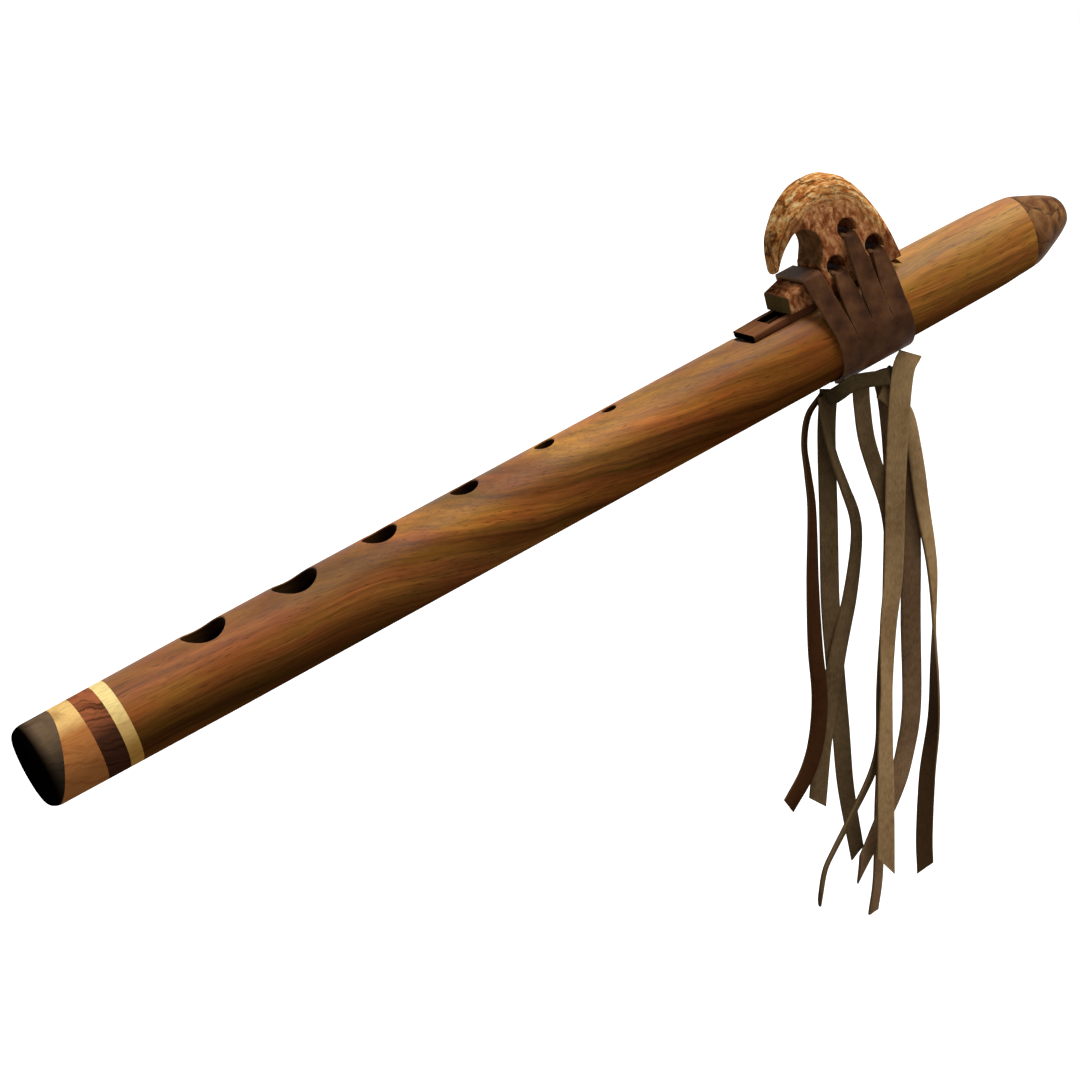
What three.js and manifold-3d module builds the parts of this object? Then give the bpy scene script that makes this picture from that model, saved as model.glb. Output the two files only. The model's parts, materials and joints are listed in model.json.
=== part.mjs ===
// A two-chamber wooden flute of the North American kind, six finger holes, key of about C sharp 5.
// The flute's own axis is modelled level: X runs from the foot to the mouth end, Z is the finger holes' side.
// The whole flute is then turned up by its hanging angle, and the fringe hangs straight down from it.
// The origin is where the player's hands hold it: on the bore's axis, midway between the two groups of holes.
// Lengths are in millimetres, angles in degrees.
import * as THREE from "three";
import { mergeVertices } from "three/addons/utils/BufferGeometryUtils.js";
import Module from "manifold-3d";

const wasm = await Module();
wasm.setup();

// Driving sizes of the tube.
const FLUTE_LENGTH = 422;
const TUBE_DIAMETER = 30;
const WALL_THICKNESS = 4;
const SOUNDING_LENGTH = 297.6;
const HANGING_ANGLE = 23.15;
const GLUE_GAP = 0.3;
const CUT_OVERRUN = 2;

// Foot end: a dark cap ring cut on the slant, then three laminated bands.
const CAP_RING_LENGTH = 8;
const CAP_SEAM_SLANT = 20.8;
const LIGHT_BAND_LENGTH = 13;
const DARK_BAND_LENGTH = 8.2;
const PALE_BAND_LENGTH = 4.9;
const FOOT_ROUNDING_DEPTH = 3;
const FOOT_ROUNDING_LENGTH = 4.4;

// Mouth end: the tube narrows a little behind the block, then the nose cap closes to a blunt tip.
const NOSE_LENGTH = 37;
const NOSE_CAP_LENGTH = 19.5;
const NOSE_SEAM_SLANT = 7.4;
const NOSE_TENON_LENGTH = 8;
const BREATH_HOLE_DIAMETER = 7;
const TAPER_START = 300;
const noseLengthShares = [0, 0.243, 0.454, 0.549, 0.676, 0.851, 0.962, 1];
const noseRadiusShares = [0.96, 0.93, 0.902, 0.862, 0.743, 0.556, 0.4, 0.293];

// Finger holes, from the foot: places as shares of the sounding length, diameters as shares of the bore.
const holePlaceShares = [0.2392, 0.3569, 0.4688, 0.5823, 0.6912, 0.7806];
const holeDiameterShares = [0.731, 0.743, 0.575, 0.469, 0.333, 0.239];

// Spacer plate on its flat, with the sound-hole window, the flue and the air's way out of the mouth chamber.
const PLATE_WIDTH = 15;
const PLATE_LENGTH = 63.3;
const PLATE_THICKNESS = 3;
const PLATE_LEAD = 8.9;
const PLATE_FRONT_HEIGHT = 1.6;
const PLATE_RAMP_LENGTH = 11;
const WINDOW_LENGTH = 7;
const WINDOW_WIDTH = 6.4;
const FLUE_DEPTH = 1;
const FLUE_LENGTH = 24;
const AIR_EXIT_LENGTH = 8;
const PLUG_LENGTH = 20;
const PLUG_SETBACK = 2;

// Carved block tied over the plate.
const BLOCK_LENGTH = 47.5;
const BLOCK_WIDTH = 18;
const BLOCK_HEIGHT = 38.2;
const BLOCK_EDGE_ROUNDING = 0.6;
const CROSS_HOLE_DIAMETER = 7.4;
const BEAK_TIP_WIDTH = 4.6;
const CREST_TOP_WIDTH = 9;

// Leather wrap: one strap round the tube, slit into four strips that pass over and through the block.
const LEATHER_THICKNESS = 1.4;
const STRIP_WIDTH = 7.25;
const SLIT_WIDTH = 0.35;
const STRIP_WIDTH_IN_HOLE = 5.2;
const WRAP_START = 314.6;
const WRAP_ANGLE_STEP = 8;
const WRAP_NEAR_END_ANGLE = 176;
const WRAP_FAR_END_ANGLE = 184;
const slitEndAngles = [96, 80, 88];
const holeDropShare = 0.68;
const straightShare = 0.8;

// Tie strap under the tube, and the width of the hanging thongs.
const TIE_WIDTH = 5.6;
const THONG_WIDTH = 6.6;
const THONG_STEPS = 16;
const strapCornerShare = 0.25;

const ROUND_SEGMENTS = 56;
const HOLE_SEGMENTS = 40;
const FOOT_STEPS = 5;
const NOSE_STEPS = 13;
const CUTTER_SIZE = 100;
const MERGE_DISTANCE = 1e-4;

// Derived sizes.
const tubeRadius = TUBE_DIAMETER / 2;
const boreRadius = tubeRadius - WALL_THICKNESS;
const halfGap = GLUE_GAP / 2;
const capSeam = CAP_RING_LENGTH;
const lightBandEnd = capSeam + LIGHT_BAND_LENGTH;
const darkBandEnd = lightBandEnd + DARK_BAND_LENGTH;
const paleBandEnd = darkBandEnd + PALE_BAND_LENGTH;
const noseStart = FLUTE_LENGTH - NOSE_LENGTH;
const noseSeam = FLUTE_LENGTH - NOSE_CAP_LENGTH;
const holePlaces = holePlaceShares.map((share) => share * SOUNDING_LENGTH);
const holeDiameters = holeDiameterShares.map((share) => share * 2 * boreRadius);
const gripPlace = (holePlaces[2] + holePlaces[3]) / 2;
const flatHeight = Math.sqrt(tubeRadius ** 2 - (PLATE_WIDTH / 2) ** 2);
const plateBottom = flatHeight + GLUE_GAP;
const plateTop = flatHeight + PLATE_THICKNESS;
const plateStart = SOUNDING_LENGTH - PLATE_LEAD;
const windowEnd = SOUNDING_LENGTH + WINDOW_LENGTH;
const airExitStart = windowEnd + FLUE_LENGTH;
const plugStart = windowEnd + PLUG_SETBACK;
const blockStart = windowEnd;
const blockBase = plateTop + GLUE_GAP;
const hangingTurn = THREE.MathUtils.degToRad(HANGING_ANGLE);

// A closed three.js geometry as a solid for cutting and joining.
function toSolid(geometry) {
  const bare = new THREE.BufferGeometry();
  bare.setAttribute("position", geometry.getAttribute("position").clone());
  if (geometry.index) bare.setIndex(geometry.index.clone());
  const merged = mergeVertices(bare, MERGE_DISTANCE);
  const vertProperties = new Float32Array(merged.getAttribute("position").array);
  const triVerts = new Uint32Array(merged.index.array);
  return new wasm.Manifold(new wasm.Mesh({ numProp: 3, vertProperties, triVerts }));
}

// A solid back as a geometry with flat-shaded faces.
function toGeometry(solid) {
  const mesh = solid.getMesh();
  const indexed = new THREE.BufferGeometry();
  indexed.setAttribute("position", new THREE.BufferAttribute(mesh.vertProperties, 3));
  indexed.setIndex(new THREE.BufferAttribute(mesh.triVerts, 1));
  const geometry = indexed.toNonIndexed();
  geometry.computeVertexNormals();
  return geometry;
}

function named(name, geometry, material) {
  const mesh = new THREE.Mesh(geometry, material);
  mesh.name = name;
  return mesh;
}

// A body of revolution about X from a closed outline of [x, radius] points.
function turned(outline) {
  const profile = outline.map(([x, radius]) => new THREE.Vector2(radius, x));
  return new THREE.LatheGeometry(profile, ROUND_SEGMENTS).rotateZ(-Math.PI / 2);
}

// A round bar along X.
function bar(radius, from, to) {
  return turned([
    [from, 0],
    [from, radius],
    [to, radius],
    [to, 0],
  ]);
}

// A block-shaped cutter, given by its centre and its size.
function boxCutter(centre, size) {
  return toSolid(new THREE.BoxGeometry(...size).translate(...centre));
}

// All the space on one side of a plane across the tube at x, slanted so that its top leans to the mouth end.
function beyond(x, slant, side) {
  const cutter = new THREE.BoxGeometry(CUTTER_SIZE, CUTTER_SIZE, CUTTER_SIZE);
  cutter.translate((side * CUTTER_SIZE) / 2, 0, 0);
  cutter.rotateY(THREE.MathUtils.degToRad(slant));
  return toSolid(cutter.translate(x, 0, 0));
}

// The tube's outside as [x, radius] points: the rounded foot, the straight run, the taper and the nose.
function footCurve() {
  const points = [];
  for (let i = 0; i <= FOOT_STEPS; i++) {
    const turn = ((i / FOOT_STEPS) * Math.PI) / 2;
    const x = FOOT_ROUNDING_LENGTH * (1 - Math.cos(turn));
    points.push([x, tubeRadius - FOOT_ROUNDING_DEPTH * (1 - Math.sin(turn))]);
  }
  return points;
}

function noseCurve() {
  const places = noseLengthShares.map(
    (share, i) =>
      new THREE.Vector2(noseStart + share * NOSE_LENGTH, noseRadiusShares[i] * tubeRadius),
  );
  return new THREE.SplineCurve(places).getPoints(NOSE_STEPS).map((point) => [point.x, point.y]);
}

function outside() {
  return [...footCurve(), [TAPER_START, tubeRadius], ...noseCurve()];
}

// The tube's outer radius at a place along it.
function outerRadius(x) {
  const points = outside();
  const next = points.findIndex(([place]) => place >= x);
  if (next < 0) return points.at(-1)[1];
  if (next === 0) return points[0][1];
  const [x0, r0] = points[next - 1];
  const [x1, r1] = points[next];
  return r0 + ((r1 - r0) * (x - x0)) / (x1 - x0);
}

// A stretch of the tube's wall between two places, with an open bore of the given radius.
function wall(from, to, innerRadius) {
  const between = outside().filter(([x]) => x > from && x < to);
  const outer = [[from, outerRadius(from)], ...between, [to, outerRadius(to)]];
  return turned([[from, innerRadius], ...outer, [to, innerRadius], [from, innerRadius]]);
}

function wood(colour, roughness) {
  return new THREE.MeshStandardMaterial({ color: colour, roughness, metalness: 0 });
}

const walnut = wood(0x6b4226, 0.55);
const darkWood = wood(0x3b2418, 0.55);
const lightWood = wood(0xb9783f, 0.55);
const paleWood = wood(0xd9b56a, 0.55);
const burlWood = wood(0x7a452a, 0.5);
const coarseWood = wood(0x9a5f35, 0.65);
const smoothLeather = new THREE.MeshStandardMaterial({ color: 0x40241c, roughness: 0.6 });
const suede = new THREE.MeshStandardMaterial({ color: 0x4d3f2a, roughness: 0.95 });

// The four glued rings at the foot.
function footRings() {
  const capRing = toSolid(wall(0, lightBandEnd, boreRadius)).subtract(
    beyond(capSeam - halfGap, CAP_SEAM_SLANT, 1),
  );
  const lightBand = toSolid(wall(0, lightBandEnd - halfGap, boreRadius)).subtract(
    beyond(capSeam + halfGap, CAP_SEAM_SLANT, -1),
  );
  return [
    named("foot_cap_ring", toGeometry(capRing), darkWood),
    named("foot_light_band", toGeometry(lightBand), lightWood),
    named("foot_dark_band", wall(lightBandEnd + halfGap, darkBandEnd - halfGap, boreRadius), darkWood),
    named("foot_pale_band", wall(darkBandEnd + halfGap, paleBandEnd - halfGap, boreRadius), paleWood),
  ];
}

// A slot across the top of the tube, from one height to another.
function topSlot(from, to, width, low, high) {
  return boxCutter(
    [(from + to) / 2, 0, (low + high) / 2],
    [to - from, width, high - low],
  );
}

function fluteTube() {
  let tube = toSolid(wall(paleBandEnd + halfGap, noseSeam + NOSE_TENON_LENGTH, boreRadius));
  tube = tube.subtract(beyond(noseSeam - halfGap, NOSE_SEAM_SLANT, 1));
  holePlaces.forEach((place, i) => {
    const radius = holeDiameters[i] / 2;
    const depth = tubeRadius + CUT_OVERRUN;
    const hole = new THREE.CylinderGeometry(radius, radius, depth, HOLE_SEGMENTS);
    tube = tube.subtract(toSolid(hole.rotateX(Math.PI / 2).translate(place, 0, depth / 2)));
  });
  const top = tubeRadius + CUT_OVERRUN;
  const flatEnd = plateStart + PLATE_LENGTH + GLUE_GAP;
  const flat = topSlot(plateStart - GLUE_GAP, flatEnd, TUBE_DIAMETER, flatHeight, top);
  const soundHole = topSlot(SOUNDING_LENGTH, windowEnd, WINDOW_WIDTH, 0, top);
  const airExit = topSlot(airExitStart, airExitStart + AIR_EXIT_LENGTH, WINDOW_WIDTH, 0, top);
  return named("flute_tube", toGeometry(tube.subtract(flat).subtract(soundHole).subtract(airExit)), walnut);
}

// The solid stopper in the bore that parts the mouth chamber from the sounding chamber.
function chamberPlug() {
  const radius = boreRadius - GLUE_GAP;
  return named("chamber_plug", bar(radius, plugStart, plugStart + PLUG_LENGTH), lightWood);
}

function noseCap() {
  const tenonStart = noseSeam - NOSE_TENON_LENGTH;
  const breathRadius = BREATH_HOLE_DIAMETER / 2;
  const head = toSolid(wall(tenonStart, FLUTE_LENGTH, breathRadius)).subtract(
    beyond(noseSeam + halfGap, NOSE_SEAM_SLANT, -1),
  );
  const tenonRadius = boreRadius - GLUE_GAP;
  const tenonOutline = [
    [tenonStart, breathRadius],
    [tenonStart, tenonRadius],
    [noseSeam + CUT_OVERRUN, tenonRadius],
    [noseSeam + CUT_OVERRUN, breathRadius],
    [tenonStart, breathRadius],
  ];
  return named("nose_cap", toGeometry(head.add(toSolid(turned(tenonOutline)))), burlWood);
}

function spacerPlate() {
  const thickness = plateTop - plateBottom;
  const outline = new THREE.Shape();
  outline.moveTo(0, 0);
  outline.lineTo(PLATE_LENGTH, 0);
  outline.lineTo(PLATE_LENGTH, thickness);
  outline.lineTo(PLATE_RAMP_LENGTH, thickness);
  outline.lineTo(0, PLATE_FRONT_HEIGHT);
  outline.closePath();
  const blank = new THREE.ExtrudeGeometry(outline, { depth: PLATE_WIDTH, bevelEnabled: false });
  blank.rotateX(Math.PI / 2).translate(plateStart, PLATE_WIDTH / 2, plateBottom);
  const low = plateBottom - CUT_OVERRUN;
  const high = plateTop + CUT_OVERRUN;
  const plate = toSolid(blank)
    .subtract(topSlot(SOUNDING_LENGTH, windowEnd, WINDOW_WIDTH, low, high))
    .subtract(topSlot(airExitStart, airExitStart + AIR_EXIT_LENGTH, WINDOW_WIDTH, low, high))
    .subtract(topSlot(windowEnd, airExitStart + GLUE_GAP, WINDOW_WIDTH, plateTop - FLUE_DEPTH, high));
  return named("spacer_plate", toGeometry(plate), walnut);
}

// The block's side view, as shares of its length and height: nose, saddle, throat, beak, crest and back.
const blockFrontShares = [
  [0, 0],
  [0.017, 0.155],
  [0.16, 0.207],
  [0.337, 0.212],
];
const throatShares = [
  [0.362, 0.286],
  [0.389, 0.343],
  [0.419, 0.42],
  [0.425, 0.49],
  [0.408, 0.573],
  [0.37, 0.635],
  [0.315, 0.66],
  [0.262, 0.645],
  [0.181, 0.542],
  [0.12, 0.42],
  [0.1, 0.362],
];
const crestShares = [
  [0.044, 0.356],
  [0.051, 0.46],
  [0.091, 0.595],
  [0.126, 0.663],
  [0.225, 0.788],
  [0.353, 0.911],
  [0.5, 0.99],
  [0.58, 1],
  [0.661, 0.995],
  [0.737, 0.972],
  [0.8, 0.909],
  [0.853, 0.812],
  [0.899, 0.689],
  [0.941, 0.542],
  [0.973, 0.385],
  [0.992, 0.228],
];
const blockBackShares = [
  [1, 0.084],
  [1, 0],
];
const crossHoleShares = [
  [0.474, 0.212],
  [0.655, 0.482],
  [0.821, 0.22],
];

function blockPoint([along, up]) {
  return new THREE.Vector2(along * BLOCK_LENGTH, up * BLOCK_HEIGHT);
}

// The saddle's height above the block's base, where the first strip crosses.
const saddleHeight = blockFrontShares.at(-1)[1] * BLOCK_HEIGHT;

function blockOutline() {
  const outline = new THREE.Shape();
  blockFrontShares.map(blockPoint).forEach((point, i) => {
    if (i === 0) outline.moveTo(point.x, point.y);
    else outline.lineTo(point.x, point.y);
  });
  outline.splineThru(throatShares.map(blockPoint));
  const tip = blockPoint(crestShares[0]);
  outline.lineTo(tip.x, tip.y);
  outline.splineThru(crestShares.slice(1).map(blockPoint));
  blockBackShares.map(blockPoint).forEach((point) => outline.lineTo(point.x, point.y));
  outline.closePath();
  return outline;
}

// Space beside the beak: the block keeps its full width at the throat and thins to the beak's tip.
function cheekCutter(side) {
  const beakStart = crestShares[0][0] * BLOCK_LENGTH;
  const fullFrom = throatShares[1][0] * BLOCK_LENGTH;
  const reach = fullFrom - beakStart;
  const cheekBottom = ((saddleHeight / BLOCK_HEIGHT + crestShares[0][1]) / 2) * BLOCK_HEIGHT;
  const plan = new THREE.Shape();
  plan.moveTo(beakStart - reach, BLOCK_WIDTH);
  plan.lineTo(beakStart - reach, BEAK_TIP_WIDTH / 2);
  plan.lineTo(beakStart, BEAK_TIP_WIDTH / 2);
  const swellSteps = 8;
  for (let i = 1; i <= swellSteps; i++) {
    const swell = Math.sin(((i / swellSteps) * Math.PI) / 2);
    const halfWidth = (BEAK_TIP_WIDTH + (BLOCK_WIDTH - BEAK_TIP_WIDTH) * swell) / 2;
    plan.lineTo(beakStart + (reach * i) / swellSteps, halfWidth);
  }
  plan.lineTo(fullFrom, BLOCK_WIDTH);
  plan.closePath();
  const depth = 2 * BLOCK_HEIGHT;
  const space = new THREE.ExtrudeGeometry(plan, { depth, bevelEnabled: false });
  if (side < 0) space.rotateX(Math.PI).translate(0, 0, depth);
  return toSolid(space.translate(0, 0, cheekBottom));
}

// The crest's section: straight sides, then an arch that narrows to the ridge.
function crestArch() {
  const half = BLOCK_WIDTH / 2;
  const springing = blockPoint(crossHoleShares[1]).y + CROSS_HOLE_DIAMETER / 2;
  const rise = BLOCK_HEIGHT - springing;
  const ridge = CREST_TOP_WIDTH / 2;
  const section = new THREE.Shape();
  section.moveTo(-half, -CUT_OVERRUN);
  section.lineTo(half, -CUT_OVERRUN);
  const archSteps = 8;
  for (let i = 0; i <= archSteps; i++) {
    const turn = ((i / archSteps) * Math.PI) / 2;
    section.lineTo(ridge + (half - ridge) * Math.cos(turn), springing + rise * Math.sin(turn));
  }
  for (let i = archSteps; i >= 0; i--) {
    const turn = ((i / archSteps) * Math.PI) / 2;
    section.lineTo(-ridge - (half - ridge) * Math.cos(turn), springing + rise * Math.sin(turn));
  }
  section.closePath();
  const depth = 2 * BLOCK_LENGTH;
  const arch = new THREE.ExtrudeGeometry(section, { depth, bevelEnabled: false });
  return arch.rotateX(Math.PI / 2).rotateZ(Math.PI / 2).translate(-BLOCK_LENGTH / 2, 0, 0);
}

function totemBlock() {
  const rounding = BLOCK_EDGE_ROUNDING;
  const blank = new THREE.ExtrudeGeometry(blockOutline(), {
    depth: BLOCK_WIDTH - 2 * rounding,
    curveSegments: 3,
    bevelThickness: rounding,
    bevelSize: rounding,
    bevelOffset: -rounding,
    bevelSegments: 2,
  });
  blank.rotateX(Math.PI / 2).translate(0, BLOCK_WIDTH / 2 - rounding, 0);
  let block = toSolid(blank).intersect(toSolid(crestArch()));
  block = block.subtract(cheekCutter(1)).subtract(cheekCutter(-1));
  crossHoleShares.map(blockPoint).forEach((centre) => {
    const radius = CROSS_HOLE_DIAMETER / 2;
    const length = BLOCK_WIDTH + 2 * CUT_OVERRUN;
    const hole = new THREE.CylinderGeometry(radius, radius, length, HOLE_SEGMENTS);
    block = block.subtract(toSolid(hole.translate(centre.x, 0, centre.y)));
  });
  const mesh = named("totem_block", toGeometry(block), coarseWood);
  mesh.position.set(blockStart, 0, blockBase);
  return mesh;
}

// A strap swept through stations. Each station has the strap's centre, the way its outer face looks,
// the way its width runs, and how wide it is there.
function strap(stations) {
  const corners = [];
  for (const { centre, out, across, width } of stations) {
    for (const [side, face] of [[-1, -1], [1, -1], [1, 1], [-1, 1]]) {
      const corner = centre.clone().addScaledVector(across, (side * width) / 2);
      corners.push(...corner.addScaledVector(out, (face * LEATHER_THICKNESS) / 2).toArray());
    }
  }
  const faces = [0, 1, 2, 0, 2, 3];
  for (let i = 0; i + 1 < stations.length; i++) {
    for (let side = 0; side < 4; side++) {
      const a = 4 * i + side;
      const b = 4 * i + ((side + 1) % 4);
      faces.push(a, a + 4, b + 4, a, b + 4, b);
    }
  }
  const last = 4 * (stations.length - 1);
  faces.push(last, last + 2, last + 1, last, last + 3, last + 2);
  const geometry = new THREE.BufferGeometry();
  geometry.setAttribute("position", new THREE.Float32BufferAttribute(corners, 3));
  geometry.setIndex(faces);
  return geometry;
}

// The leather's middle line: its distance from the tube's axis, and from a block edge that it bends over.
const leatherRadius = tubeRadius + GLUE_GAP + LEATHER_THICKNESS / 2;
const leatherBend = GLUE_GAP + LEATHER_THICKNESS / 2;
const stripPitch = STRIP_WIDTH + SLIT_WIDTH;

// A station whose width runs along the tube. outY and outZ say which way its outer face looks.
function crossStation(x, y, z, outY, outZ, width) {
  return {
    centre: new THREE.Vector3(x, y, z),
    out: new THREE.Vector3(0, outY, outZ),
    across: new THREE.Vector3(1, 0, 0),
    width,
  };
}

// A station on the tube, at an angle measured from the top towards the near side (-Y).
function onTube(angle, x, width) {
  const turn = THREE.MathUtils.degToRad(angle);
  const outY = -Math.sin(turn);
  const outZ = Math.cos(turn);
  return crossStation(x, leatherRadius * outY, leatherRadius * outZ, outY, outZ, width);
}

// The solid part of the strap, between two angles, from one strip's left edge to another's right edge.
function bandBetween(fromAngle, toAngle, firstStrip, lastStrip) {
  const left = WRAP_START + firstStrip * stripPitch;
  const right = WRAP_START + lastStrip * stripPitch + STRIP_WIDTH;
  const stations = [];
  for (let angle = fromAngle; angle >= toAngle; angle -= WRAP_ANGLE_STEP) {
    stations.push(onTube(angle, (left + right) / 2, right - left));
  }
  return toSolid(strap(stations));
}

// The far half of a strip, from the underside up to the middle of its way over or through the block. The
// leather is pulled tight, so it leaves the tube on a tangent and runs straight to the block's edge.
function farHalf(bandX, crossingX, crossingZ, crossingWidth) {
  const edgeY = BLOCK_WIDTH / 2;
  const edgeZ = crossingZ - leatherBend;
  const reach = Math.hypot(edgeY, edgeZ);
  const leavingTurn = Math.atan2(edgeY, edgeZ) + Math.acos((leatherRadius - leatherBend) / reach);
  const leavingAngle = THREE.MathUtils.radToDeg(leavingTurn);
  const half = [];
  for (let angle = WRAP_FAR_END_ANGLE; angle > leavingAngle; angle -= WRAP_ANGLE_STEP) {
    half.push(onTube(-angle, bandX, STRIP_WIDTH));
  }
  half.push(onTube(-leavingAngle, bandX, STRIP_WIDTH));
  const bend = [];
  const bendSteps = 3;
  for (let i = 0; i <= bendSteps; i++) {
    const turn = leavingTurn * (1 - i / bendSteps);
    const [outY, outZ] = [Math.sin(turn), Math.cos(turn)];
    const y = edgeY + leatherBend * outY;
    const z = edgeZ + leatherBend * outZ;
    bend.push(crossStation(crossingX, y, z, outY, outZ, crossingWidth));
  }
  const taperStart = half.at(-1).centre.clone().lerp(bend[0].centre, straightShare);
  half.push({ ...bend[0], centre: taperStart, width: STRIP_WIDTH });
  return [...half, ...bend];
}

// One strip: up the near side of the tube and block, over or through the block, and down the far side.
function strip(index, crossingX, crossingZ, crossingWidth) {
  const bandX = WRAP_START + index * stripPitch + STRIP_WIDTH / 2;
  const far = farHalf(bandX, crossingX, crossingZ, crossingWidth);
  const skipped = Math.round((WRAP_FAR_END_ANGLE - WRAP_NEAR_END_ANGLE) / WRAP_ANGLE_STEP);
  const mirrored = new THREE.Vector3(1, -1, 1);
  const near = far.slice(skipped).map((station) => ({
    ...station,
    centre: station.centre.clone().multiply(mirrored),
    out: station.out.clone().multiply(mirrored),
  }));
  return toSolid(strap([...near, ...far.reverse()]));
}

function laceWrap() {
  const holes = crossHoleShares.map(blockPoint);
  const holeDrop = (CROSS_HOLE_DIAMETER - STRIP_WIDTH_IN_HOLE) * holeDropShare;
  const saddleX = blockPoint([(blockFrontShares[2][0] + blockFrontShares[3][0]) / 2, 0]).x;
  const saddleZ = saddleHeight + GLUE_GAP + LEATHER_THICKNESS / 2;
  let wrap = bandBetween(WRAP_NEAR_END_ANGLE, Math.max(...slitEndAngles), 0, 3);
  slitEndAngles.forEach((angle, slit) => {
    wrap = wrap.add(bandBetween(WRAP_NEAR_END_ANGLE, angle, slit, slit + 1));
  });
  wrap = wrap.add(strip(0, blockStart + saddleX, blockBase + saddleZ, STRIP_WIDTH));
  holes.forEach((hole, i) => {
    wrap = wrap.add(strip(i + 1, blockStart + hole.x, blockBase + hole.y - holeDrop, STRIP_WIDTH_IN_HOLE));
  });
  return named("lace_wrap", toGeometry(wrap), smoothLeather);
}

// The flattened section of a strap, thin one way and wide the other, with its corners taken off.
function strapSection(thin, wide) {
  const corner = thin * strapCornerShare;
  const section = new THREE.Shape();
  const x = thin / 2;
  const y = wide / 2;
  section.moveTo(x, -y + corner);
  section.lineTo(x, y - corner);
  section.lineTo(x - corner, y);
  section.lineTo(-x + corner, y);
  section.lineTo(-x, y - corner);
  section.lineTo(-x, -y + corner);
  section.lineTo(-x + corner, -y);
  section.lineTo(x - corner, -y);
  section.closePath();
  return section;
}

function strapAlong(points, wide, steps) {
  const route = new THREE.CatmullRomCurve3(points.map((point) => new THREE.Vector3(...point)));
  return new THREE.ExtrudeGeometry(strapSection(LEATHER_THICKNESS, wide), {
    steps,
    extrudePath: route,
  });
}

// The tie strap's route, from under the tube round to its near side and back under the wrap: shares of the
// wrap's length, then of the leather's radius.
const tieRouteShares = [
  [-0.186, -0.188, -1.2],
  [-0.193, -0.375, -1.163],
  [-0.146, -0.638, -1.063],
  [-0.037, -0.731, -1],
  [0.097, -0.731, -0.997],
  [0.23, -0.7, -1.075],
  [0.396, -0.656, -1.2],
  [0.546, -0.563, -1.313],
  [0.679, -0.283, -1.375],
];

// The tie strap stands on edge, its outer face to the near side along the wrap.
function laceTie() {
  const wrapLength = 3 * stripPitch + STRIP_WIDTH;
  const places = tieRouteShares.map(
    ([along, side, up]) =>
      new THREE.Vector3(WRAP_START + along * wrapLength, side * leatherRadius, up * leatherRadius),
  );
  const route = new THREE.CatmullRomCurve3(places);
  const steps = 2 * tieRouteShares.length;
  const stations = [];
  for (let i = 0; i <= steps; i++) {
    const along = route.getTangentAt(i / steps);
    const across = new THREE.Vector3(0, 0, -1).projectOnPlane(along).normalize();
    const out = across.clone().cross(along);
    stations.push({ centre: route.getPointAt(i / steps), out, across, width: TIE_WIDTH });
  }
  return named("lace_tie", strap(stations), suede);
}

// The eight hanging ends, each from under the tube to its cut end, measured from the origin.
const thongRoutes = [
  [[148, 0.5, 43], [142.5, 0.3, 36], [140.7, -0.3, 26], [142.2, -0.6, 15], [144, -0.6, 2],
    [144.8, -0.6, -25], [146.2, -0.6, -48], [148.2, -0.6, -66], [147.2, -0.6, -82], [143.5, -0.6, -94],
    [136.3, -0.6, -105.5]],
  [[151.5, 2.6, 44.5], [151, 2.7, 28], [152.6, 3, -3], [154, 3.4, -32], [156.4, 3.4, -56], [159.2, 3.4, -80],
    [161.7, 3.4, -102], [167, 3.4, -127.5]],
  [[146.3, -1.6, 43], [147.9, -1.6, 34.5], [152, -1.6, 21], [156.8, -1.4, 9.5], [162, 0, -2],
    [163, 0.6, -13], [161.2, 1.4, -31], [157, 1.4, -49.5], [153.6, 1.4, -68], [151, 1.4, -84],
    [149.2, 1.4, -106]],
  [[157.6, -9.3, 47], [158.3, -9.3, 40], [160.8, -8.4, 28], [165.4, -7.6, 16], [170.3, -7.3, 3.6],
    [172.6, -7.3, -9], [173, -7.3, -24], [171, -7.3, -44], [169.6, -7.3, -64], [169.2, -7.3, -83],
    [166.3, -7.3, -94.5], [158.5, -7.3, -109], [151.2, -7.3, -121.5], [147.5, -7.2, -129],
    [145.7, -7.1, -139.5]],
  [[177, -10.4, 57.5], [174, -10.5, 51], [172.3, -11, 34], [171.6, -11, 10], [171.5, -11, -20],
    [169.4, -11, -44], [169.2, -11, -80], [170, -11, -105], [170.6, -11, -129]],
  [[167, -7, 44], [171.5, -7, 41], [178, -7, 35.5], [181.5, -7.3, 22], [185.1, -7.3, 2.5],
    [190, -7.4, -22], [191.3, -7.5, -48], [192, -7.5, -76], [189.6, -7.5, -98], [188.8, -7.5, -120],
    [189.4, -7.5, -133]],
  [[175, -3, 52], [178, -3.3, 38], [180.5, -4.2, 14], [182.5, -4.4, -10], [183, -4.4, -40],
    [184.1, -4.5, -72], [181.5, -4.6, -90], [177, -5, -104], [169, -5.4, -120], [163, -5.5, -131]],
  [[169.5, -1, 50.5], [173, -1, 38], [175.5, -1.2, 10.5], [175.3, -1.4, -33], [174.5, -1.5, -70],
    [173.2, -1.5, -107], [173, -1.5, -135], [171.3, -1.5, -149]],
];

function thongs() {
  return thongRoutes.map((route, i) => {
    const material = i === 0 ? smoothLeather : suede;
    return named(`thong_${i + 1}`, strapAlong(route, THONG_WIDTH, THONG_STEPS), material);
  });
}

const level = new THREE.Group();
level.add(...footRings(), fluteTube(), chamberPlug(), noseCap(), spacerPlate());
level.add(totemBlock(), laceWrap(), laceTie());
level.position.x = -gripPlace;

const turnedUp = new THREE.Group();
turnedUp.rotation.y = -hangingTurn;
turnedUp.add(level);

const flute = new THREE.Group();
flute.name = "native_american_flute";
flute.add(turnedUp, ...thongs());

export default flute;
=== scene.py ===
"""A two-chamber wooden flute: a bored walnut tube with laminated foot bands and a burl nose cap, a carved
block tied over its sound hole by a slit leather strap, and a fringe of leather thongs."""

import json
import math

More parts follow.
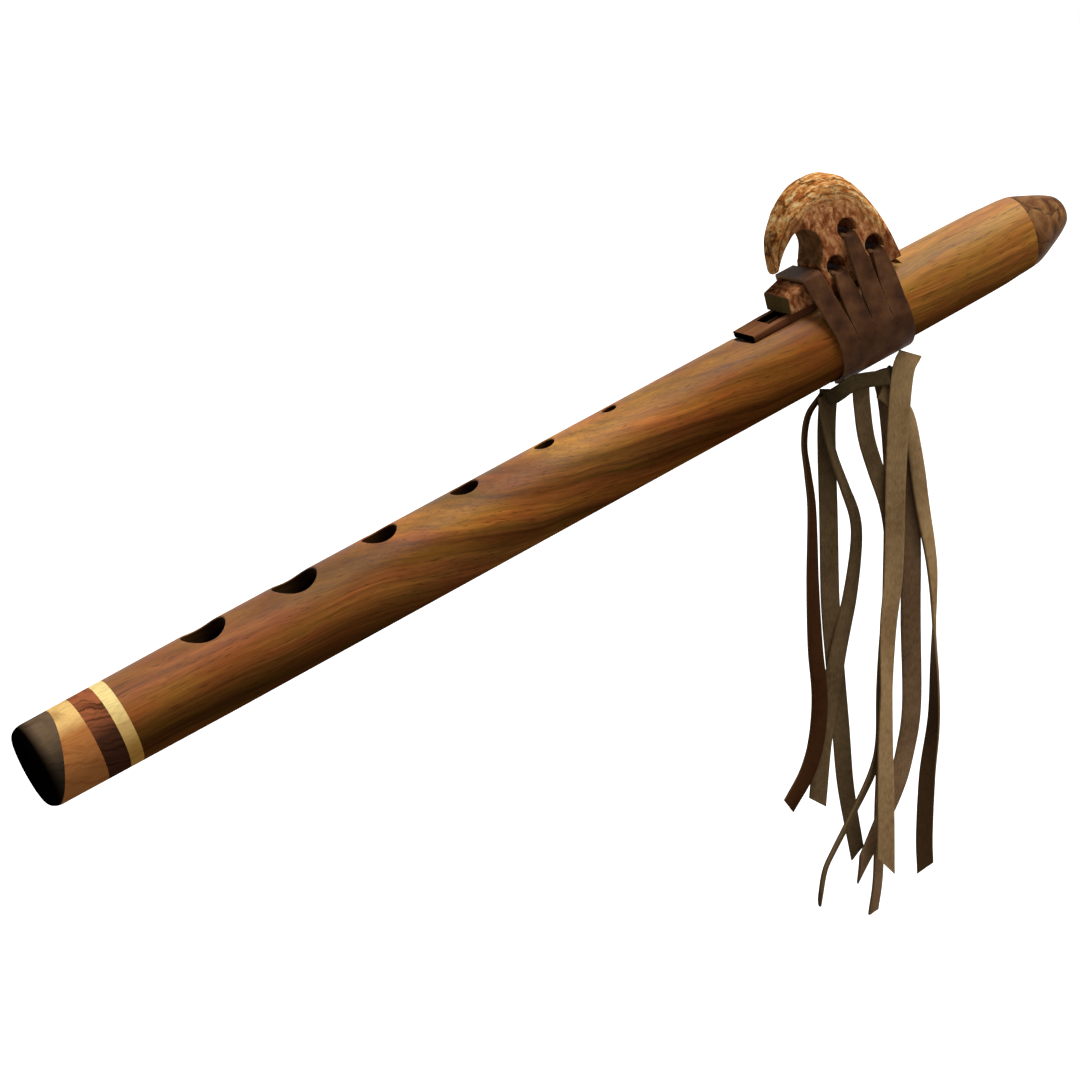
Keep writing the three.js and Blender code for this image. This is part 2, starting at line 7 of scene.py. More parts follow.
import bmesh
import bpy
import numpy as np
from mathutils import Matrix, Vector
from mathutils.geometry import delaunay_2d_cdt


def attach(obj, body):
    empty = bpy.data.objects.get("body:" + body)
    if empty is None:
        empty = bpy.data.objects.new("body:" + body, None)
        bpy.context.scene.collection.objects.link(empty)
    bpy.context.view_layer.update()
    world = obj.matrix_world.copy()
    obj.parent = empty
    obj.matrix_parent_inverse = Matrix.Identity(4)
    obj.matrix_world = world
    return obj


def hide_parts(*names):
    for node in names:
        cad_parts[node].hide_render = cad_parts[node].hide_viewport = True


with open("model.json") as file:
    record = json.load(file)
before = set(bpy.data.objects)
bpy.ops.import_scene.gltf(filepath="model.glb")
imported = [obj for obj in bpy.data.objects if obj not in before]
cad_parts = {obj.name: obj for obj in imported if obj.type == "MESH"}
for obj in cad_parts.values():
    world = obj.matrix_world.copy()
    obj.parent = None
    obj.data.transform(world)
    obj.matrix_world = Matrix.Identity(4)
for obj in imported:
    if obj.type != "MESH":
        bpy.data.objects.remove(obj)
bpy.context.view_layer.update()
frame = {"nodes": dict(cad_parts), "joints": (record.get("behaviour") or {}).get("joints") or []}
bpy.context.scene.view_settings.view_transform = "Standard"


def placed(name, data):
    """A new object in the scene."""
    piece = bpy.data.objects.new(name, data)
    bpy.context.scene.collection.objects.link(piece)
    return piece


# Camera, from the foot end's side and a little above, as the photograph was taken.
camera_data = bpy.data.cameras.new("camera")
camera_data.lens = 115.7
camera_data.sensor_width = 36
camera_data.clip_end = 50
camera = placed("camera", camera_data)
camera.location = (-0.44968, -1.05768, 0.22569)
CAMERA_LOOKS = Vector((0.4111, 0.8915, -0.1904))
camera.rotation_euler = CAMERA_LOOKS.to_track_quat("-Z", "Y").to_euler()
bpy.context.scene.camera = camera


# Flute tube: one bored length of walnut, turned, sanded round and oiled, with six drilled finger holes. A
# flat on top takes the spacer plate. Under it one slot lets the air out of the mouth chamber, and the sound
# hole lets it back in.
TUBE_RADIUS = 0.015
BORE_RADIUS = 0.011
GRIP_FROM_FOOT = 0.156404
FLUTE_TILT = math.atan2(frame["joints"][0]["axis"][2], frame["joints"][0]["axis"][0])
FOOT_ROUNDING_DEPTH = 0.003
FOOT_ROUNDING_LENGTH = 0.0044
# The foot is this much thinner in radius, and gets there over this length.
FOOT_THINNING = 0.0004
FOOT_TAPER_LENGTH = 0.07
# The outside from the last straight part to the tip: places and radii.
NOSE_OUTLINE = [(0.3, 0.015), (0.345, 0.01478), (0.385, 0.0144), (0.394, 0.01395), (0.4018, 0.01353),
                (0.4053, 0.01293), (0.41, 0.01115), (0.4165, 0.00834), (0.4206, 0.006), (0.422, 0.0044)]
FLUTE_LENGTH = NOSE_OUTLINE[-1][0]
TUBE_START = 0.0341
NOSE_SEAM = 0.4025
NOSE_SEAM_LEAN = math.tan(math.radians(7.4))
# Places from the foot, and radii.
FINGER_HOLES = [(0.0712, 0.00804), (0.1062, 0.00817), (0.1395, 0.00632), (0.1733, 0.00516),
                (0.2057, 0.00366), (0.2323, 0.00263)]
HOLE_EASING = 0.0005
SEAM_GAP = 0.00002
AROUND = 144
SOUND_HOLE = (0.2976, 0.3046)
AIR_EXIT = (0.3286, 0.3366)
SLOT_WIDTH = 0.0064
FLAT_HEIGHT = 0.01299
FLAT = (0.2884, 0.3523)
FLAT_LEAD = 0.2845
SLOTS_BOTTOM = BORE_RADIUS / 3
ABOVE_TUBE = 2 * TUBE_RADIUS
# Cut walls, which get a painted near-black shade, lie deeper than the outside, which is that thin only past
# the place where the taper starts.
CUT_WALL_DEPTHS = (0.0144, 0.0147)
NOSE_TAPER_START = 0.34
to_row = Matrix.Rotation(-FLUTE_TILT, 4, "Y") @ Matrix.Translation((-GRIP_FROM_FOOT, 0, 0))


def smooth_route(points, count):
    """Evenly spaced points on the smooth curve through a given route."""
    ends = [2 * points[0] - points[1], *points, 2 * points[-1] - points[-2]]
    fine = []
    steps = 24
    for before, start, end, after in zip(ends, ends[1:], ends[2:], ends[3:]):
        for i in range(steps):
            t = i / steps
            pull = (end - before) * t + (2 * before - 5 * start + 4 * end - after) * t**2
            fine.append(start + 0.5 * (pull + (3 * start - before - 3 * end + after) * t**3))
    fine.append(points[-1])
    travelled = [0.0]
    for a, b in zip(fine, fine[1:]):
        travelled.append(travelled[-1] + (b - a).length)
    wanted = np.linspace(0, travelled[-1], count)
    columns = [np.interp(wanted, travelled, [p[axis] for p in fine]) for axis in range(3)]
    return [Vector(p) for p in zip(*columns)], travelled[-1]


nose_line, _ = smooth_route([Vector((x, radius, 0)) for x, radius in NOSE_OUTLINE], 200)


def outer_radius(x):
    """The flute's outer radius at a distance from the foot: rounded foot, straight run, taper and nose."""
    thinner = FOOT_THINNING * max(0.0, 1 - x / FOOT_TAPER_LENGTH)
    if x < FOOT_ROUNDING_LENGTH:
        lean = 1 - max(x, 0.0) / FOOT_ROUNDING_LENGTH
        return TUBE_RADIUS - thinner - FOOT_ROUNDING_DEPTH * (1 - math.sqrt(1 - lean**2))
    return -thinner + float(np.interp(x, [p.x for p in nose_line], [p.y for p in nose_line]))


def plane_across(place, lean=0.0):
    """Where a plane across the flute, leaning to the mouth end at the top, lies at a height over the axis."""
    return lambda z: place + lean * z


def turned(name, start, end, stations, inside):
    """A turned piece between two planes across the flute. Stations are shares of the way between them, and
    inside lists the bore's places and radii from the mouth end back to the foot end."""
    mesh = bpy.data.meshes.new(name)
    points = []
    for j in range(AROUND):
        up, side = math.cos(2 * math.pi * j / AROUND), -math.sin(2 * math.pi * j / AROUND)
        x0, x1 = start(0), end(0)
        for _ in range(3):
            x0, x1 = start(outer_radius(x0) * up), end(outer_radius(x1) * up)
        for share in stations:
            x = x0 + share * (x1 - x0)
            points.append((x, side * outer_radius(x), up * outer_radius(x)))
        for place, radius in inside:
            points.append((place(radius * up), side * radius, up * radius))
    deep = len(stations) + len(inside)
    faces = []
    for j in range(AROUND):
        here, there = j * deep, ((j + 1) % AROUND) * deep
        for k in range(deep):
            after = (k + 1) % deep
            faces.append((here + k, here + after, there + after, there + k))
    mesh.from_pydata([to_row @ Vector(p) for p in points], [], faces)
    return placed(name, mesh)


def as_plain_mesh(piece, smooth_below=35.0):
    """Turns a piece and its modifiers into one plain mesh with outward normals, smooth below an angle."""
    evaluated = piece.evaluated_get(bpy.context.evaluated_depsgraph_get())
    made = bpy.data.meshes.new_from_object(evaluated, preserve_all_data_layers=True,
                                           depsgraph=bpy.context.evaluated_depsgraph_get())
    piece.modifiers.clear()
    old = piece.data
    piece.data = made
    bpy.data.meshes.remove(old)
    made.name = piece.name
    shell = bmesh.new()
    shell.from_mesh(made)
    bmesh.ops.recalc_face_normals(shell, faces=shell.faces)
    for part in shell.faces:
        part.smooth = True
    for part in shell.edges:
        part.smooth = len(part.link_faces) == 2 and part.calc_face_angle(0.0) < math.radians(smooth_below)
    shell.to_mesh(made)
    shell.free()
    return piece


def box_between(low, high):
    """Corners and faces of a box in the flute's own frame."""
    corners = [(x, y, z) for x in (low[0], high[0]) for y in (low[1], high[1]) for z in (low[2], high[2])]
    return corners, [(0, 1, 3, 2), (4, 6, 7, 5), (0, 4, 5, 1), (2, 3, 7, 6), (0, 2, 6, 4), (1, 5, 7, 3)]


def hole_drill(place, radius):
    """A finger hole's cutter: straight through the wall, and eased where it meets the round outside."""
    rings = [(radius + 1.4 * HOLE_EASING, None)]
    steps = 5
    for k in range(steps + 1):
        turn = math.pi / 2 * k / steps
        rings.append((radius + HOLE_EASING * (1.04 - math.sin(turn)), 0.04 - (1 - math.cos(turn))))
    around = 64
    corners = []
    for ring, drop in rings:
        for j in range(around):
            x, y = ring * math.cos(2 * math.pi * j / around), ring * math.sin(2 * math.pi * j / around)
            surface = math.sqrt(TUBE_RADIUS**2 - y**2)
            z = TUBE_RADIUS + HOLE_EASING if drop is None else surface + HOLE_EASING * drop
            corners.append((place + x, y, z))
    for j in range(around):
        x, y = radius * math.cos(2 * math.pi * j / around), radius * math.sin(2 * math.pi * j / around)
        corners.append((place + x, y, SLOTS_BOTTOM))
    deep = len(rings) + 1
    faces = []
    for k in range(deep - 1):
        upper, lower = k * around, (k + 1) * around
        for j in range(around):
            after = (j + 1) % around
            faces.append((upper + j, upper + after, lower + after, lower + j))
    faces.append(tuple(reversed(range(around))))
    faces.append(tuple(range((deep - 1) * around, deep * around)))
    return corners, faces


def cut_away(piece, cutters):
    """Cuts closed shapes, given in the flute's own frame, out of a piece."""
    shapes = bpy.data.meshes.new("cutters")
    points, faces = [], []
    for corners, sides in cutters:
        faces += [tuple(len(points) + i for i in side) for side in sides]
        points += [to_row @ Vector(p) for p in corners]
    shapes.from_pydata(points, [], faces)
    shell = bmesh.new()
    shell.from_mesh(shapes)
    bmesh.ops.recalc_face_normals(shell, faces=shell.faces)
    shell.to_mesh(shapes)
    shell.free()
    tool = placed("cutters", shapes)
    cut = piece.modifiers.new("cut", "BOOLEAN")
    cut.operation, cut.solver, cut.object = "DIFFERENCE", "EXACT", tool
    as_plain_mesh(piece)
    bpy.data.objects.remove(tool)
    bpy.data.meshes.remove(shapes)
    return piece


def linear(colour):
    """An sRGB colour, written as hex, as Blender's linear RGBA."""
    parts = [int(colour[i : i + 2], 16) / 255 for i in (1, 3, 5)]
    return (*[c / 12.92 if c <= 0.04045 else ((c + 0.055) / 1.055) ** 2.4 for c in parts], 1.0)


def add(tree, kind, inputs=None, stops=None, points=None, **settings):
    """Adds a node with its settings. An input is a value or the socket that feeds it. Stops are a ramp's
    places and colours, and points are a curve's."""
    node = tree.nodes.new(kind)
    for name, value in settings.items():
        setattr(node, name, value)
    for name, value in (inputs or {}).items():
        if isinstance(value, bpy.types.NodeSocket):
            tree.links.new(value, node.inputs[name])
        else:
            node.inputs[name].default_value = value
    if stops:
        ramp = node.color_ramp
        while len(ramp.elements) < len(stops):
            ramp.elements.new(1.0)
        for element, (place, colour) in zip(ramp.elements, sorted(stops)):
            element.position = place
            element.color = linear(colour)
    if points:
        curve = node.mapping.curves[0]
        while len(curve.points) < len(points):
            curve.points.new(1.0, 1.0)
        for point, place in zip(curve.points, points):
            point.location = place
        node.mapping.update()
    return node


def maths(tree, operation, *values):
    """The result of a sum on a tree."""
    return add(tree, "ShaderNodeMath", dict(enumerate(values)), operation=operation).outputs[0]


def ramped(tree, value, low, high, at_low=0, at_high=1):
    """A value spread from one range to another, and held inside it."""
    ranges = {"Value": value, "From Min": low, "From Max": high, "To Min": at_low, "To Max": at_high}
    return add(tree, "ShaderNodeMapRange", ranges).outputs[0]


def blended(tree, share, colour, other, **settings):
    """A colour mixed with another by a share."""
    colours = {"Factor": share, 6: colour, 7: other}
    return add(tree, "ShaderNodeMix", colours, data_type="RGBA", **settings).outputs[2]


def surfaced(tree, colour, roughness, shine, height=None, strength=0.0, depth=0.0, **settings):
    """Ends a material's tree with its surface, which has a relief where a pattern of heights is given."""
    look = {"Base Color": colour, "Roughness": roughness, "Specular IOR Level": shine}
    if height is not None:
        relief = {"Strength": strength, "Distance": depth, "Height": height}
        look["Normal"] = add(tree, "ShaderNodeBump", relief, **settings).outputs[0]
    surface = add(tree, "ShaderNodeBsdfPrincipled", look)
    add(tree, "ShaderNodeOutputMaterial", {"Surface": surface.outputs[0]})


def noise(tree, place, scale, detail=2, roughness=0.5):
    """A cloudy pattern from 0 to 1."""
    pattern = {"Vector": place, "Scale": scale, "Detail": detail, "Roughness": roughness}
    return add(tree, "ShaderNodeTexNoise", pattern).outputs["Fac"]


def new_material(name):
    """A material with an empty node tree, and the tree."""
    material = bpy.data.materials.new(name)
    material.use_nodes = True
    material.node_tree.nodes.clear()
    return material, material.node_tree


def on_flute(tree, from_foot=0.0, above_axis=0.0):
    """Where a point lies on the flute: metres along it, sideways, and up from the bore's axis."""
    held = add(tree, "ShaderNodeTexCoord").outputs["Object"]
    turned_level = add(tree, "ShaderNodeMapping",
                       {"Vector": held, "Rotation": (0, FLUTE_TILT, 0),
                        "Location": (GRIP_FROM_FOOT - from_foot, 0, -above_axis)})
    return turned_level.outputs[0]


def stretched(tree, x, y, z, scale):
    """A place with its three directions stretched apart, for grain that runs long one way."""
    joined = add(tree, "ShaderNodeCombineXYZ", {"X": x, "Y": y, "Z": z})
    return add(tree, "ShaderNodeMapping", {"Vector": joined.outputs[0], "Scale": scale}).outputs[0]


def toned(tree, colour, amount, low, high):
    """A colour made darker or lighter by a pattern, between two brightness shares."""
    share = ramped(tree, amount, 0.3, 0.7, low, high)
    return add(tree, "ShaderNodeHueSaturation", {"Color": colour, "Value": share}).outputs[0]


def oiled_walnut():
    """Black walnut, turned, sanded and oiled: satin. Its growth layers sweep down across the side of the tube
    as long dark and bright streaks, run straight and golden near the mouth end, and its open pores show as
    fine dark dashes. The walls of its holes, slots and bore carry a painted near-black shade."""
    material, tree = new_material("oiled_black_walnut")
    x, y, z = add(tree, "ShaderNodeSeparateXYZ", {0: on_flute(tree)}).outputs
    # How far the growth layers have dipped at each place along the tube, in shares of 55 mm.
    share = ramped(tree, x, 0, FLUTE_LENGTH)
    dipped = add(tree, "ShaderNodeFloatCurve", {"Value": share},
                 points=[(0, 0), (0.189, 0.036), (0.283, 0.109), (0.354, 0.255), (0.472, 0.527), (0.566, 0.7),
                         (0.672, 0.845), (0.755, 0.891), (1, 0.927)])
    layer = maths(tree, "MULTIPLY_ADD", dipped.outputs[0], 0.055, z)
    waves = noise(tree, stretched(tree, x, y, z, (14, 45, 45)), 1.0, 3)
    swayed = maths(tree, "MULTIPLY_ADD", waves, 0.009, layer)
    level = ramped(tree, swayed, -0.0115, 0.0705)
    figure = add(tree, "ShaderNodeValToRGB", {"Fac": level},
                 stops=[(0.0, "#834c22"), (0.12, "#553213"), (0.2, "#7a471e"), (0.29, "#9a5d2a"),
                        (0.36, "#985d2d"), (0.42, "#77471c"), (0.465, "#7a4920"), (0.5, "#a2622a"),
                        (0.54, "#b36f2d"), (0.585, "#9c602b"), (0.617, "#73481e"), (0.65, "#955c2d"),
                        (0.69, "#7d4e25"), (0.735, "#bb7a38"), (0.8, "#c5853d"), (0.86, "#b77e39"),
                        (1.0, "#c89354")])
    streaks = noise(tree, stretched(tree, x, y, swayed, (16, 130, 620)), 1.0, 4, 0.62)
    # Fibres and pores are 0.4 mm wide, twice the real ones, so that they show.
    fibres = noise(tree, stretched(tree, x, y, swayed, (55, 1100, 2400)), 1.0, 2)
    pores = noise(tree, stretched(tree, x, y, swayed, (190, 2000, 2600)), 1.0, 1)
    dash = ramped(tree, pores, 0.6, 0.72, 0, 0.55)
    # The board is darker and redder for a hand's width before the block and under it.
    board = add(tree, "ShaderNodeValToRGB", {"Fac": share},
                stops=[(0.0, "#f3f3f3"), (0.45, "#eeeeee"), (0.54, "#e4ddda"), (0.62, "#c3aea2"),
                       (0.74, "#bca89c"), (0.82, "#dacfc8"), (1.0, "#efeae6")])
    darkened = blended(tree, 1.0, figure.outputs[0], board.outputs[0], blend_type="MULTIPLY")
    # Soft patches, a thumb wide, lean to red here and to olive there.
    patches = noise(tree, stretched(tree, x, y, swayed, (34, 70, 150)), 1.0, 2)
    hue = ramped(tree, patches, 0.35, 0.65, 0.491, 0.511)
    leaning = add(tree, "ShaderNodeHueSaturation", {"Color": darkened, "Hue": hue})
    streaked = toned(tree, leaning.outputs[0], streaks, 0.6, 1.36)
    grained = toned(tree, streaked, fibres, 0.84, 1.14)
    pored = blended(tree, dash, grained, linear("#3a2414"))
    # The cut walls of the holes, the slots and the bore get a painted near-black shade.
    aside = add(tree, "ShaderNodeCombineXYZ", {"Y": y, "Z": z})
    depth = add(tree, "ShaderNodeVectorMath", {0: aside.outputs[0]}, operation="LENGTH")
    within = ramped(tree, depth.outputs["Value"], *CUT_WALL_DEPTHS, 0.92, 0.0)
    before_taper = maths(tree, "LESS_THAN", x, NOSE_TAPER_START)
    dark = maths(tree, "MULTIPLY", within, before_taper)
    colour = blended(tree, dark, pored, linear("#140c06"))
    gloss = ramped(tree, streaks, 0.3, 0.7, 0.46, 0.62)
    sunk = maths(tree, "SUBTRACT", fibres, dash)
    # The shine is placed by height: a soft sheen over the top, standing in for the light from above, and none
    # underneath, so the underside shows no reflection of the floor.
    sheen = ramped(tree, z, 0.005, 0.0138, 0.0, 0.26)
    outside = maths(tree, "SUBTRACT", 1.0, dark)
    satin = maths(tree, "MULTIPLY", sheen, outside)
    surfaced(tree, colour, gloss, satin, sunk, 0.35, 0.00012)
    return material


def glued_to_flute(piece, material, node):
    """Gives a piece its material and sets it on the flute's body in place of its CAD node."""
    piece.data.materials.clear()
    piece.data.materials.append(material)
    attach(piece, "flute_body")
    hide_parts(node)


foot_joint, nose_joint = plane_across(TUBE_START), plane_across(NOSE_SEAM - SEAM_GAP, NOSE_SEAM_LEAN)
tube = turned("walnut_tube", foot_joint, nose_joint, np.linspace(0, 1, 130),
              [(nose_joint, BORE_RADIUS), (foot_joint, BORE_RADIUS)])
# The flat runs out in a short ramp before the plate, so that the plate's front end stands free.
corners, sides = box_between((FLAT_LEAD, -TUBE_RADIUS, FLAT_HEIGHT), (FLAT[0], TUBE_RADIUS, ABOVE_TUBE))
lead = [(x, y, TUBE_RADIUS if x == FLAT_LEAD and z == FLAT_HEIGHT else z) for x, y, z in corners]
slots = [box_between((start, -SLOT_WIDTH / 2, SLOTS_BOTTOM), (end, SLOT_WIDTH / 2, FLAT_HEIGHT * 1.1))
         for start, end in (SOUND_HOLE, AIR_EXIT)]
cut_away(tube, [
    (lead, sides),
    *[hole_drill(place, radius) for place, radius in FINGER_HOLES],
    box_between((FLAT[0], -TUBE_RADIUS, FLAT_HEIGHT), (FLAT[1], TUBE_RADIUS, ABOVE_TUBE)),
    *slots,
])
glued_to_flute(tube, oiled_walnut(), "flute_tube")


# Foot rings: four thin rings of contrasting woods, glued end to end to the tube and sanded flush with it.
# The cap ring and the light band meet on a slanted joint, and the foot's rim is rounded over.
CAP_SEAM = 0.008
CAP_SEAM_LEAN = math.tan(math.radians(20.8))
LIGHT_BAND_END = 0.021
DARK_BAND_END = 0.0292
# The rim's painted black shade is darkest up to the first place, and gone past the second.
RIM_SHADE = (0.0026, 0.0066)


def sanded_ring_wood(name, top, side, line, line_spacing, lean, gloss, border, lined=0.5, dark_rim=0.0):
    """Laminated hardwood ring, sanded flush and oiled: satin, with the board's growth lines crossing it on
    the slant, and painted shade that makes it darker down the sides than over the top. The cap ring's rim has
    a painted black shade."""
    material, tree = new_material(name)
    x, y, z = add(tree, "ShaderNodeSeparateXYZ", {0: on_flute(tree)}).outputs
    # Painted shade: the sides are darker than the top.
    height = ramped(tree, z, *border)
    ground = blended(tree, height, linear(side), linear(top))
    slanted = maths(tree, "MULTIPLY_ADD", x, lean, z)
    wander = noise(tree, stretched(tree, x, y, z, (160, 90, 90)), 1.0, 3)
    field = maths(tree, "MULTIPLY_ADD", wander, 0.0055, slanted)
    lines = noise(tree, stretched(tree, x, y, field, (40, 60, 1 / line_spacing)), 1.0, 3)
    strength = ramped(tree, lines, 0.5, 0.66, 0, lined)
    lines_on = blended(tree, strength, ground, linear(line))
    fibres = noise(tree, stretched(tree, x, y, z, (300, 1500, 2200)), 1.0, 2)
    # Painted black shade at the rim.
    rim = ramped(tree, x, *RIM_SHADE, dark_rim, 0.0)
    rimmed = blended(tree, rim, lines_on, linear("#050302"))
    colour = toned(tree, rimmed, fibres, 0.86, 1.12)
    surfaced(tree, colour, gloss, 0.0, fibres, 0.3, 0.0001)
    return material


# Each ring's name, CAD node and slot, where it starts and ends and how its joints lean, and its wood: colours
# of its top, of its sides with painted shade, and of its growth lines, the lines' spacing and lean, its
# roughness, the heights between which the sides' painted shade turns to the top's colour, how strong its
# lines are, and how black its rim's painted shade is.
RINGS = [
    ("cap_ring", "foot_cap_ring", "dark_wood", (0.0, 0.0), (CAP_SEAM, CAP_SEAM_LEAN),
     ("oiled_wenge", "#6f5a44", "#3a3024", "#1f160c", 0.0016, 0.3, 0.5, (0.001, 0.013), 0.3, 1.0)),
    ("light_band", "foot_light_band", "light_wood", (CAP_SEAM, CAP_SEAM_LEAN), (LIGHT_BAND_END, 0.0),
     ("oiled_cherry", "#edc278", "#b9763f", "#8d4f27", 0.0026, 0.5, 0.48, (0.0082, 0.0122), 0.45)),
    ("dark_band", "foot_dark_band", "red_dark_wood", (LIGHT_BAND_END, 0.0), (DARK_BAND_END, 0.0),
     ("oiled_rosewood", "#a55f3c", "#4c2c1e", "#1f1009", 0.0011, 0.2, 0.46, (0.003, 0.012), 0.75)),
    ("pale_band", "foot_pale_band", "pale_wood", (DARK_BAND_END, 0.0), (TUBE_START, 0.0),
     ("oiled_maple", "#f7dd94", "#cf9748", "#a9743a", 0.0022, 0.2, 0.48, (-0.006, 0.0125), 0.3)),
]
ring_stations = [0.5 - 0.5 * math.cos(math.pi * i / 16) for i in range(17)]
for name, node, slot, (start, start_lean), (end, end_lean), wood in RINGS:
    near, far = plane_across(start, start_lean), plane_across(end - SEAM_GAP, end_lean)
    ring = turned(name, near, far, ring_stations, [(far, BORE_RADIUS), (near, BORE_RADIUS)])
    as_plain_mesh(ring)
    glued_to_flute(ring, sanded_ring_wood(*wood), node)


# Nose cap: walnut burl, turned to a blunt mouthpiece and bored with the breath hole. It is glued into the
# tube's bore by a tenon, and its joint leans a little.
BREATH_RADIUS = 0.0035
TENON_RADIUS = 0.0107
TENON_START = 0.3945
# The cap is reddest at the seam, and so up to here.
SEAM_REDNESS_END = 0.412


def polished_burl():
    """Walnut burl, turned and polished: swirled reddish brown, redder near its joint, and crossed by thin
    dark wandering bark lines."""
    material, tree = new_material("polished_walnut_burl")
    place = on_flute(tree)
    x = add(tree, "ShaderNodeSeparateXYZ", {0: place}).outputs["X"]
    swirl = add(tree, "ShaderNodeTexNoise",
                {"Vector": place, "Scale": 120, "Detail": 5, "Roughness": 0.6, "Distortion": 1.4})
    ground = add(tree, "ShaderNodeValToRGB", {"Fac": swirl.outputs["Fac"]},
                 stops=[(0.3, "#4c2e1a"), (0.45, "#714a2b"), (0.56, "#8c623b"), (0.7, "#a2784a")])
    near_seam = ramped(tree, x, NOSE_SEAM, SEAM_REDNESS_END, 0.5, 0.0)
    reddened = blended(tree, near_seam, ground.outputs[0], linear("#5e3620"))
    bent = add(tree, "ShaderNodeVectorMath",
               {0: swirl.outputs["Color"], "Scale": 0.009}, operation="SCALE")
    moved = add(tree, "ShaderNodeVectorMath", {0: place, 1: bent.outputs[0]}, operation="ADD")
    # Bark lines lie about 12 mm apart, are a third of a millimetre wide and fade in and out.
    cells = add(tree, "ShaderNodeTexVoronoi", {"Vector": moved.outputs[0], "Scale": 82},
                feature="DISTANCE_TO_EDGE")
    edge = ramped(tree, cells.outputs["Distance"], 0, 0.045, 0.92, 0.0)
    fade = noise(tree, place, 90, 1)
    kept = ramped(tree, fade, 0.42, 0.55)
    thin = maths(tree, "MULTIPLY", edge, kept)
    colour = blended(tree, thin, reddened, linear("#2c1810"))
    surfaced(tree, colour, 0.42, 0.02, thin, 0.4, 0.00015, invert=True)
    return material


seam = plane_across(NOSE_SEAM, NOSE_SEAM_LEAN)
tip, tenon_end = plane_across(FLUTE_LENGTH), plane_across(TENON_START)
cap = turned(
    "burl_nose_cap", seam, tip, [1 - (1 - i / 40) ** 1.6 for i in range(41)],
    [(tip, BREATH_RADIUS), (tenon_end, BREATH_RADIUS), (tenon_end, TENON_RADIUS), (seam, TENON_RADIUS)],
)
as_plain_mesh(cap)
glued_to_flute(cap, polished_burl(), "nose_cap")


# Chamber plug: a plain stopper of maple, turned to the bore's size and glued in it, which parts the mouth
# chamber from the sounding one. Its solid has the real shape and stays. It is dry and matt inside the tube.
stopper_wood = sanded_ring_wood(
    "turned_maple_stopper", "#c79a5c", "#b5874a", "#a27338", 0.003, 0.1, 0.6, (-0.01, 0.01),
)
plug = frame["nodes"]["chamber_plug"]
plug.data.materials.clear()
plug.data.materials.append(stopper_wood)


# Spacer plate: a thin walnut strip glued on the tube's flat, with the window and the flue cut in it, and its
# front end planed down to a ramp.
PLATE_EASING = 0.0003
PLATE_START = 0.2887
PLATE_RAMP_END = 0.2997
PLATE_TOP = 0.01599
# Closer to the photograph than the solid: the front end is thicker, the window is wider, and the back end
# stops under the block.
PLATE_FRONT_LIFT = 0.0007
PLATE_FRONT_TOP = 0.01529
WINDOW_WIDENING = 1.4
PLATE_SHORTENING = 0.005
# Points higher than this are the plate's top, and those past this place are its back end.
TOP_FROM = FLAT_HEIGHT + 0.001
BACK_FROM = AIR_EXIT[1] + 0.002
# How far past a cut wall its painted black shade reaches, in the window and at the front end.
WINDOW_SKIN = 0.0002
FRONT_SKIN = 0.00025


def eased_copy(node, name, easing):
    """A copy of a CAD node with its facets merged and its edges eased by hand sanding."""
    mesh = frame["nodes"][node].data.copy()
    mesh.name = name
    shell = bmesh.new()
    shell.from_mesh(mesh)
    bmesh.ops.remove_doubles(shell, verts=shell.verts, dist=1e-6)
    bmesh.ops.dissolve_limit(shell, angle_limit=math.radians(0.5), verts=shell.verts, edges=shell.edges)
    shell.to_mesh(mesh)
    shell.free()
    piece = placed(name, mesh)
    easer = piece.modifiers.new("easing", "BEVEL")
    easer.width, easer.segments = easing, 3
    easer.limit_method, easer.angle_limit = "ANGLE", math.radians(42)
    as_plain_mesh(piece, 40)
    return piece


def planed_strip():
    """Walnut strip, planed and oiled: red brown on top with painted shade down its sides, and straight fine
    grain. Its sawn front end, the window and the flue are painted nearly black as shade."""
    material, tree = new_material("planed_walnut_strip")
    x, y, z = add(tree, "ShaderNodeSeparateXYZ", {0: on_flute(tree)}).outputs
    grain = noise(tree, stretched(tree, x, y, z, (60, 900, 900)), 1.0, 4)
    # The painted shade down the sides begins just under the plate's top, which slopes down to the front.
    slope = ramped(tree, x, PLATE_START, PLATE_RAMP_END, PLATE_FRONT_TOP, PLATE_TOP)
    below = maths(tree, "SUBTRACT", slope, z)
    side = ramped(tree, below, 0.0001, 0.0005)
    ground = blended(tree, side, linear("#8a5a3a"), linear("#673e26"))
    toned_ground = toned(tree, ground, grain, 0.78, 1.2)
    # Painted black shade in the window and the flue, and on the sawn front end.
    aside = maths(tree, "ABSOLUTE", y)
    in_slot = maths(tree, "LESS_THAN", aside, SLOT_WIDTH / 2 * WINDOW_WIDENING + WINDOW_SKIN)
    past_ramp = maths(tree, "GREATER_THAN", x, SOUND_HOLE[0] - WINDOW_SKIN)
    slot = maths(tree, "MULTIPLY", in_slot, past_ramp)
    front = maths(tree, "LESS_THAN", x, PLATE_START + FRONT_SKIN)
    dark = maths(tree, "MAXIMUM", slot, front)
    colour = blended(tree, dark, toned_ground, linear("#0c0804"))
    surfaced(tree, colour, 0.55, 0.0)
    return material


plate = eased_copy("spacer_plate", "walnut_spacer_plate", PLATE_EASING)
for vertex in plate.data.vertices:
    place = to_row.inverted() @ vertex.co
    if place.z > TOP_FROM:
        place.z += float(np.interp(place.x, (PLATE_START, PLATE_RAMP_END), (PLATE_FRONT_LIFT, 0)))
    if abs(place.y) < 0.6 * SLOT_WIDTH:
        place.y *= WINDOW_WIDENING
    if place.x > BACK_FROM:
        place.x -= PLATE_SHORTENING
    vertex.co = to_row @ place
glued_to_flute(plate, planed_strip(), "spacer_plate")


